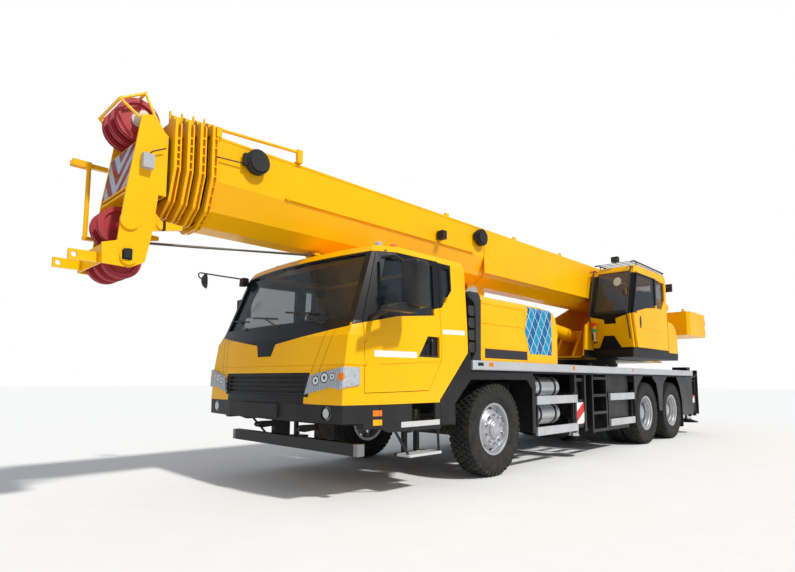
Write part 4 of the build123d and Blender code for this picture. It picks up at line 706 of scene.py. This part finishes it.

# ------------------------ boom sections and head
# Each section is painted black in the narrow gap in front of the next collar: painted shade in
# that recess, over its dark pads; the head's front plate carries maroon and grey chevrons that point down.
FIRST_GAP, GAP_STEP = 5.42, 0.105
for k, name in enumerate(("boom_section_2", "boom_section_3", "boom_section_4", "boom_section_5")):
    shade = yellow("yellow_" + name)
    gap = FIRST_GAP + GAP_STEP * k
    gap_end = gap + (0.041 if k < 3 else 0.030)
    # painted shade: a black band round the tube in the recess before the next collar
    shade.zone(shade.inside(*between("x", gap, gap_end), (0, 0, -1, 3.40)), BLACK, 0.45)
    if k == 3:
        front_plate = shade.inside((0.989, 0, 0.146, -6.392), (0, -1, 0, 0.29), *between("z", 2.66, 3.05))
        shade.stripes(front_plate, 0.0, -1.0, 1.0, 0.21, (0.26, 0.012, 0.035), (0.40, 0.45, 0.52))
        cheek = (0, 1, 0, -0.3115)
        shade.areas((cheek, *patch(5.88, 6.0, 2.82, 2.96), (0.42, 0.43, 0.44), 0.4),
                    (cheek, *patch(6.02, 6.10, 2.045, 2.14), (0.02, 0.02, 0.021), 0.4), both_sides=False)
    shade.done(name)
maroon = Finish("sheave_maroon", (0.44, 0.035, 0.045), (0.34, 0.025, 0.035), rough=0.42, grain=9.0)
maroon.zone(maroon.disc(maroon.x, 5.968, 3.298, 0.060), (0.62, 0.60, 0.50), 0.35)
maroon.done("boom_head_sheaves")

wire = Finish("wire_rope", (0.10, 0.095, 0.085), (0.20, 0.18, 0.15), rough=0.45, metal=0.6, grain=150.0,
              bump=0.5).done()


def tube(name, points, radius, steps=10):
    """A round bar that follows a polyline, with closed ends."""
    form = bmesh.new()
    path = [Vector(p) for p in points]
    rings = []
    for k, here in enumerate(path):
        run = (path[min(k + 1, len(path) - 1)] - path[max(k - 1, 0)]).normalized()
        across = run.orthogonal().normalized() if k == 0 else (across - run * across.dot(run)).normalized()
        other = run.cross(across)
        rings.append([form.verts.new(here + radius * (math.cos(t) * across + math.sin(t) * other))
                      for t in (2 * math.pi * j / steps for j in range(steps))])
    for low, high in zip(rings, rings[1:]):
        for j in range(steps):
            form.faces.new((low[j], low[(j + 1) % steps], high[(j + 1) % steps], high[j]))
    form.faces.new(rings[0][::-1])
    form.faces.new(rings[-1])
    bmesh.ops.recalc_face_normals(form, faces=form.faces)
    return smooth(mesh_of(form, name))


for number, y in (("1", 0.02), ("2", 0.12)):
    near = (5.95, y, 2.275 - 0.25 * y)
    split = (5.40, y, 2.331 - 0.25 * y)
    far = (4.03, y, 2.474 - 0.12 * y)
    for where, ends, body in (("at_head_", (near, split), "boom_5"), ("under_boom_", (split, far), "boom_1")):
        piece("hoist_rope_" + where + number, tube("rope", ends, 0.010), body, wire, "black_paint")
guide = ((3.99, 2.452), (4.05, 2.452), (4.06, 2.480), (3.98, 2.480))
piece("rope_guide", slab("guide", guide, "y", -0.03, 0.16, 0.005), "boom_1", plain_yellow.material, "yellow_paint")

flex = Finish("cable_sheath", (0.02, 0.02, 0.02), (0.035, 0.035, 0.035), rough=0.55, bump=0.1).done()
for where, body, path in (
    ("head", "boom_5", ((5.940, 0.345, 2.945), (5.905, 0.345, 2.985), (5.800, 0.352, 3.040))),
    ("reel", "boom_1", ((5.385, 0.418, 3.078), (5.250, 0.420, 3.086), (5.120, 0.424, 3.094))),
):
    piece("sensor_cable_at_" + where, tube("cable", path, 0.006, 8), body, flex, "black_paint")

# ------------------------ engine hood
# Steel hood over the engine, with a dark strip low down and a panel of blue and white
# slanting lattice at its rear.
hood = yellow("hood_yellow")
hood.zone(hood.inside(*patch(1.45, 2.386, 1.357, 1.467), (0, 1, 0, -1.18)), (0.03, 0.03, 0.035), 0.4)
panel = hood.inside((1, 0, 0, -0.797), (-1, 0, -0.2493, 1.921), (-1, 0, 0.3642, 0.8603),
                    *between("z", 1.44, 2.065), (0, 1, 0, -1.16))
hood.stripes(panel, 1.0, 0.0, 0.6, 0.30, (0.006, 0.26, 0.46), (0.004, 0.12, 0.30), 0.3)
for slant, pitch in ((0.6, 0.15), (-0.9, 0.17)):
    hood.lines(panel, 1.0, 0.0, slant, pitch, 0.06, (0.72, 0.80, 0.84))
hood.done("engine_hood")
Finish("shroud_plastic", (0.02, 0.021, 0.022), (0.03, 0.03, 0.032), rough=0.5, bump=0.12, bump_scale=700.0).done(
    "intake_stack")

# ------------------------ driver's cab shell
# Pressed steel cab: black below the windscreen down to a middle tab, black round the side
# windows and behind the bumper, dark lining inside, white strips along the sides.
LINING, STRIP_WHITE = (0.05, 0.055, 0.065), (0.82, 0.82, 0.80)
WAIST = (0.2185, 0, 1, -2.5573)


def trimmed(name, source, *cuts):
    """A copy of a node's mesh without the points that lie inside all the cuts."""
    form = bmesh.new()
    form.from_mesh(node[source].data)
    gone = [v for v in form.verts if all(a * v.co.x + b * v.co.y + c * v.co.z + d > 0 for a, b, c, d in cuts)]
    bmesh.ops.delete(form, geom=gone, context="VERTS")
    return smooth(mesh_of(form, name))


cab = yellow("cab_yellow")
front = (1, 0, 0, -4.0)
cab.areas(
    (front, (0, 0, -1, 1.69), (0, -1, 0, 1.13), (0, -0.142, 1, -1.426), BLACK, 0.2),
    (front, (0, 0, -1, 1.69), (0, -1, 0.417, -0.4346), (0, 0, 1, -1.33), BLACK, 0.2),
    ((1, 0, 0, -3.93), (0, 0, 1, -1.62), (0, 0, -1, 2.335), BLACK, 0.25),
    ((1, 0, 0, -4.3), (0, -1, 0, 0.69), (0, 0, -1, 0.962), BLACK, 0.4),
    ((1, 0, 0, -4.3), (0, -1, 0, 0.75), *between("z", 0.94, 1.165), BLACK, 0.45),
    ((1, 0, 0, -3.035), (1.135, 0, 1, -5.505), WAIST, (0, 0, -1, 2.335), (0, 1, 0, -1.15), BLACK, 0.25),
    # painted shade: two thin darker-yellow lines along the centre panel's creases below the windscreen
    *(((1, 0, 0, -4.35), *between("z", 1.17, 1.545), (0, 1, -0.326, -0.3866 - offset),
       (0, -1, 0.326, 0.3946 + offset), (0.42, 0.19, 0.002), 0.5) for offset in (0.0, 0.10)),
    ((0, -1, 0, 1.15), *between("z", 0.95, 2.36), (1, 0, 0, -2.83), (-1, 0, -0.39, 4.89), LINING, 0.7),
    ((0, -1, 0, 1.0), *patch(2.9, 3.75, 2.30, 2.43), LINING, 0.7),
    ((0, 1, 0, -1.23), *between("x", 2.838, 3.218), (0.025, 0, 1, -1.6585), (-0.025, 0, -1, 1.7065),
     STRIP_WHITE, 0.3),
)
cab.done()
piece("driver_cab_body", trimmed("cab_body", "driver_cab_shell", (0, -1, 0, -1.26)), "carrier", cab.material,
      "yellow_paint", "driver_cab_shell")

trim = Finish("cab_plastic", (0.022, 0.022, 0.023), (0.03, 0.03, 0.031), rough=0.5, bump=0.15, bump_scale=800.0,
              spec=0.2).done("driver_cab_dashboard", "boom_cable_reels_and_lamp")
black_gloss = Finish("moulded_black", (0.018, 0.018, 0.019), (0.03, 0.03, 0.032), rough=0.38, bump=0.08,
                     bump_scale=500.0, spec=0.25).done()

# far-corner mirror: a shallow dish on a thin bent arm from the screen pillar
MIRROR_AT = (4.471, -1.555, 2.329)
far_arm = tube("far_arm", (
    (4.165, -1.120, 2.300), (4.180, -1.160, 2.340), (4.360, -1.360, 2.382), (4.530, -1.548, 2.424),
    (4.548, -1.562, 2.415), (4.545, -1.560, 2.375), (4.500, -1.557, 2.345)), 0.009)
dish = spun("dish", [(0.0, 0.0), (0.006, 0.060), (0.020, 0.092), (0.026, 0.100), (0.022, 0.104), (-0.004, 0.090),
                     (-0.026, 0.062), (-0.036, 0.028), (-0.038, 0.0)], 40)
dish.transform(Matrix.Translation(MIRROR_AT) @ Matrix.Rotation(math.radians(52), 4, "Z")
               @ Matrix.Diagonal((0.72, 1, 0.93, 1)))
far_foot = slab("far_foot", ((4.11, 2.250), (4.21, 2.240), (4.20, 2.350), (4.12, 2.350)),
                "y", -1.175, -1.085, 0.012)
piece("far_corner_mirror", joined("far_mirror", dish, far_arm, far_foot), "carrier", black_gloss, "dark_plastic")

# ------------------------ driver's cab doors
# Steel doors, black above the waist line; the left one carries the tall moulded mirror, and
# each has a black pocket with its upright pull.
PAST_SKIN = (0, 1, 0, -1.262)
door = yellow("door_yellow")
door.areas(
    (WAIST, BLACK, 0.25),
    ((1, 0, 0, -3.276), *between("z", 1.327, 1.54), (-1, 0, -0.667, 4.485), BLACK, 0.35),
    ((0, -1, -0.058, 1.30), (-1, 0, 0, 4.05), LINING, 0.7),
    ((0, 1, 0, -1.235), *between("x", 3.626, 4.224), (0.008, 0, 1, -1.3448), (-0.008, 0, -1, 1.4028),
     STRIP_WHITE, 0.3),
    (PAST_SKIN, (0.02, 0.02, 0.021), 0.4),
)
door.done("driver_cab_door_right")
piece("driver_door_left", trimmed("door_left", "driver_cab_door_left", PAST_SKIN), "cab_door_left",
      door.material, "yellow_paint", "driver_cab_door_left")
housing = slab("housing", ((3.802, 1.424), (3.832, 1.600), (4.045, 1.637), (4.106, 1.474)),
               "z", 1.762, 2.188, 0.032, 4)
wedge = slab("wedge", ((4.336, 1.703), (4.328, 1.744), (4.170, 1.787), (3.960, 1.815), (3.885, 1.775),
                       (3.950, 1.708)), "y", 1.442, 1.545, 0.014)
lower_arm = tube("lower_arm", ((4.212, 1.19, 1.662), (4.225, 1.30, 1.690), (4.240, 1.47, 1.725)), 0.026)
upper_arm = tube("upper_arm", ((4.05, 1.19, 2.262), (4.055, 1.36, 2.245), (4.060, 1.50, 2.16)), 0.016)
piece("tall_mirror_left", joined("tall_mirror", housing, wedge, lower_arm, upper_arm), "cab_door_left",
      black_gloss, "dark_plastic")
pull = ((3.372, 1.224, 1.350), (3.378, 1.236, 1.372), (3.378, 1.236, 1.492), (3.372, 1.224, 1.512))
for side, s in SIDES:
    piece("door_pull_" + side, tube("pull", [(x, s * y, z) for x, y, z in pull], 0.011), "cab_door_" + side,
          black_gloss, "dark_plastic")

# ------------------------ glass and wipers
# Tinted safety glass bonded in its frames; three wipers on short arms rest along the foot
# of the windscreen.
glass = Finish("tinted_glass", (0.03, 0.045, 0.06), (0.025, 0.04, 0.055), rough=0.03, bump=0.0, rough_swing=0.0,
               spec=0.9)
glass.skin.inputs["Alpha"].default_value = 0.36
glass.done("driver_cab_windows", "driver_cab_door_window_left", "driver_cab_door_window_right",
           "operator_cab_windows", "operator_cab_door_window")
SCREEN_X, SCREEN_Z, LEAN, BOW = 4.485, 1.64, 0.3913, 0.085


def on_screen(y, z, out):
    """A place in front of the driver's windscreen."""
    return (SCREEN_X - LEAN * (z - SCREEN_Z) - BOW * y * y + out, y, z)


for number, foot, tip in (("1", (-0.53, 1.645), (-0.86, 1.772)), ("2", (0.125, 1.635), (-0.235, 1.756)),
                          ("3", (0.778, 1.630), (0.410, 1.762))):
    arm = tube("wiper_arm", (on_screen(*foot, -0.012), on_screen(*foot, 0.010), on_screen(*tip, -0.004)), 0.008, 8)
    along = [on_screen(tip[0] + t, tip[1] - 0.10 * t, -0.014) for t in (-0.27, -0.14, 0.0, 0.14, 0.27)]
    blade = tube("wiper_blade", along, 0.009, 8)
    boss = spun("wiper_boss", [(-0.02, 0.0), (-0.02, 0.022), (0.014, 0.020), (0.020, 0.012), (0.020, 0.0)], 24)
    boss.transform(Matrix.Translation(on_screen(*foot, -0.006)) @ Matrix.Rotation(math.radians(-90), 4, "Z"))
    piece("windscreen_wiper_" + number, joined("wiper", arm, blade, boss), "carrier", black_gloss, "dark_plastic")

# ------------------------ lamps, bumper and steps
# Clear lamp covers over bright reflector rounds with amber outer ends; black plastic bumper
# with amber side markers and silver treads on the steps.
lamps = Finish("lamp_lens", (0.50, 0.54, 0.58), (0.34, 0.38, 0.42), rough=0.06, bump=0.0, coat=0.8, grain=40.0)
lamp_front = (1, 0, 0, -4.2)
head = lamps.inside(lamp_front, *between("z", 0.90, 1.3), (0, -1, 0, 1.16))
lamps.lines(head, 0.0, 1.0, 0.15, 0.022, 0.4, (0.22, 0.25, 0.28))
for a, b, radius in ((0.860, 1.092, 0.046), (0.968, 1.118, 0.050), (1.062, 1.128, 0.034)):
    for outer, inner, colour, rough in ((radius, 0.0, (0.74, 0.78, 0.82), 0.05),
                                        (radius, radius * 0.78, (0.03, 0.03, 0.035), 0.2),
                                        (radius * 0.35, 0.0, (0.05, 0.06, 0.07), 0.05)):
        lamps.zone(lamps.reckon("MULTIPLY", head, lamps.disc(lamps.side, a, b, outer, inner)), colour, rough)
lamps.areas((lamp_front, *between("z", 1.095, 1.160), *between("y", 1.125, 1.19), (0.80, 0.22, 0.01), 0.1))
fog = lamps.inside(lamp_front, (0, 0, -1, 0.9))
fog_ring = lamps.disc(lamps.side, 0.985, 0.802, 0.09, 0.042)
lamps.zone(lamps.reckon("MULTIPLY", fog, fog_ring), (0.03, 0.03, 0.03), 0.3)
lamps.areas((*between("x", 3.5, 3.80), (0, 0, 1, -2.4), (0.80, 0.20, 0.01), 0.1),
            ((-1, 0, 0, -5.0), (0.50, 0.02, 0.01), 0.15))
lamps.done("road_lamps")
bumper = Finish("bumper_plastic", (0.020, 0.020, 0.021), (0.028, 0.028, 0.029), rough=0.48, bump=0.12,
                bump_scale=800.0, spec=0.2)
STEP_SILVER = (0.58, 0.58, 0.58)
bumper.areas(
    *((*patch(x - 0.048, x + 0.048, z - 0.026, z + 0.026), (0, 1, 0, -1.22), tint, 0.15)
      for x, z, tint in ((4.154, 0.800, (0.85, 0.20, 0.01)), (4.153, 0.717, (0.88, 0.42, 0.01)))),
    (*patch(3.28, 3.85, 0.655, 0.707), (0, 1, 0, -1.08), STEP_SILVER, 0.35),
    (*between("x", 3.2, 3.75), (0, 0, -1, 0.388), (0, 1, 0, -1.05), STEP_SILVER, 0.35),
)
bumper.done("front_bumper_and_steps")

# ------------------------ seats
# Foam cushions in dark cloth with two sewn channels, on plain pedestals; the same form
# serves both driver's seats and the operator's.
cloth = Finish("seat_cloth", (0.03, 0.031, 0.034), (0.045, 0.046, 0.05), rough=0.9, bump=0.4, bump_scale=900.0
               ).done("driver_cab_seats", "operator_seat")


def cushion(name, low, high, cells=14):
    """A crowned cushion whose sides pull in between its corners, with two sewn channels."""
    form = bmesh.new()
    bmesh.ops.create_cube(form, size=2.0)
    bmesh.ops.subdivide_edges(form, edges=form.edges[:], cuts=cells, use_grid_fill=True)
    mid = [(a + b) / 2 for a, b in zip(low, high)]
    half = [(b - a) / 2 for a, b in zip(low, high)]
    crown, sewn_depth, sewn_width = 0.42, 0.10, 0.07
    for v in form.verts:
        x, y, z = v.co
        rx = x * math.sqrt(1 - crown * (y * y + z * z) / 2 + crown * crown * y * y * z * z / 3)
        ry = y * math.sqrt(1 - crown * (x * x + z * z) / 2 + crown * crown * x * x * z * z / 3)
        rz = z * math.sqrt(1 - crown * (x * x + y * y) / 2 + crown * crown * x * x * y * y / 3)
        sewn = 1 - sewn_depth * sum(math.exp(-((ry - c) / sewn_width) ** 2) for c in (-0.45, 0.45))
        v.co = (mid[0] + half[0] * rx * sewn, mid[1] + half[1] * ry, mid[2] + half[2] * rz * sewn)
    mesh = mesh_of(form, name)
    mesh.shade_smooth()
    return mesh


for group, source, body, seats in (
    ("driver", "driver_cab_seats", "carrier", tuple(
        ((3.10, y - 0.24, 1.26), (3.62, y + 0.24, 1.40), (3.04, y - 0.24, 1.40), (3.17, y + 0.24, 1.98),
         (3.38, y - 0.16, 0.94), (3.60, y + 0.16, 1.26)) for y in (-0.76, 0.76))),
    ("operator", "operator_seat", "superstructure", (
        ((-3.50, 0.60, 2.08), (-3.00, 1.06, 2.22), (-3.62, 0.60, 2.20), (-3.49, 1.06, 2.90),
         (-3.45, 0.70, 1.71), (-3.10, 0.96, 2.08)),)),
):
    for number, (c0, c1, b0, b1, p0, p1) in enumerate(seats, 1):
        tag = "%s_seat_%d" % (group, number)
        piece(tag + "_cushion", cushion("cushion", c0, c1), body, cloth, "fabric", source)
        piece(tag + "_back", cushion("back", b0, b1), body, cloth, "fabric", source)
        piece(tag + "_pedestal", slab("pedestal", ((p0[0], p0[1]), (p1[0], p0[1]), (p1[0], p1[1]), (p0[0], p1[1])),
                                      "z", p0[2], p1[2], 0.02), body, trim, "dark_plastic", source)

# ------------------------ operator's cab
# Yellow steel cab: black window surround with a middle tab, black trapezoid at its foot,
# black skirt; black tubes, a red, amber and green signal lamp, and a round mirror whose glass is a painted reflection
# in pale blue-grey.
op = yellow("operator_cab_yellow")
nose = (1, 0, 0, 2.26)
op.areas((nose, (0, 0.26, 1, -2.388), (0, -1, 0, 0.73), BLACK, 0.25),
         (nose, (0, -0.29, 1, -1.944), (0, 1, 0, -0.92), BLACK, 0.25),
         (nose, (0, 0, 1, -2.123), *between("y", 0.72, 0.93), BLACK, 0.25),
         ((1, 0, 0, 2.4), *between("z", 1.60, 1.915), (0, 1, -0.496, 0.263), (0, -1, -0.507, 1.838), BLACK, 0.35),
         both_sides=False)
op.areas(((0, 0, -1, 3.05), (1, 0, 0, 3.60), (0.2003, 0, 1, -1.884), BLACK, 0.3), ((0, 0, -1, 1.70), BLACK, 0.4))
op.done("operator_cab_shell", "operator_cab_door")
turns = (2 * math.pi * k / 32 for k in range(32))
oval = [(-2.425 + 0.045 * math.cos(t), 2.155 + 0.115 * math.sin(t)) for t in turns]
piece("operator_door_handle_plate", slab("oval", oval, "y", 1.2265, 1.2320, 0.0015, 1), "operator_door",
      black_gloss, "dark_plastic")
base = yellow("turntable_yellow")
base.zone(base.inside((0, 1, 0, -0.45), (0, 0, -1, 1.665), (1, 0, 0, 4.6), both_sides=False), BLACK, 0.4)
base.done("turntable_frame")
guard = Finish("guard_black", (0.02, 0.02, 0.021), (0.03, 0.03, 0.031), rough=0.42, bump=0.05)
mast = ((1, 0, 0, 2.06), (0, -1, 0, 0.60))
guard.areas((*mast, *between("z", 2.095, 2.152), (0.70, 0.02, 0.01), 0.15),
            (*mast, *between("z", 2.040, 2.095), (0.75, 0.30, 0.01), 0.15),
            (*mast, *between("z", 1.985, 2.040), (0.02, 0.35, 0.10), 0.15),
            (*mast, *between("z", 1.815, 1.985), (0.72, 0.72, 0.70), 0.3), both_sides=False)
# painted reflection: the round mirror's glass is a flat pale blue-grey standing in for the sky it reflects
guard.zone(guard.disc(guard.y, 1.004, 2.862, 0.078), (0.55, 0.62, 0.68), 0.06)
guard.done("operator_cab_guard_and_rails")

# ------------------------ counterweight and winches
# Cast slab in the crane's yellow with a red and white rear edge; close turns of steel rope
# fill both drums.
weight = yellow("counterweight_yellow")
rear_edge = weight.inside((-1, 0, 0, -6.36), *between("z", 2.10, 2.60))
weight.stripes(rear_edge, 0.0, 1.0, 1.0, 0.22, (0.78, 0.78, 0.78), SIGNAL_RED)
weight.done("counterweight")
Finish("drum_black", (0.03, 0.03, 0.032), (0.05, 0.05, 0.05), rough=0.5, metal=0.3).done(
    "winch_drum_main", "winch_drum_auxiliary")
ROPE, CORE, PITCH, TURNS = 0.0085, 0.150, 0.0176, 39
FIRST_TURN, DRUM_HEIGHT = -0.334, 2.830
turn_of_rope = spun("turn", [(ROPE * math.cos(t), CORE + ROPE + ROPE * math.sin(t)) for t in
                             (2 * math.pi * k / 8 for k in range(8))], 48)
coil = repeated(turn_of_rope, IN_ROW, count=TURNS, stride=(0.0, PITCH, 0.0), finish=wire)
for name, x in (("main", -5.560), ("auxiliary", -6.080)):
    piece("rope_on_drum_" + name, placed(coil, "coil", (x, FIRST_TURN, DRUM_HEIGHT)), name + "_winch", None,
          "black_paint")
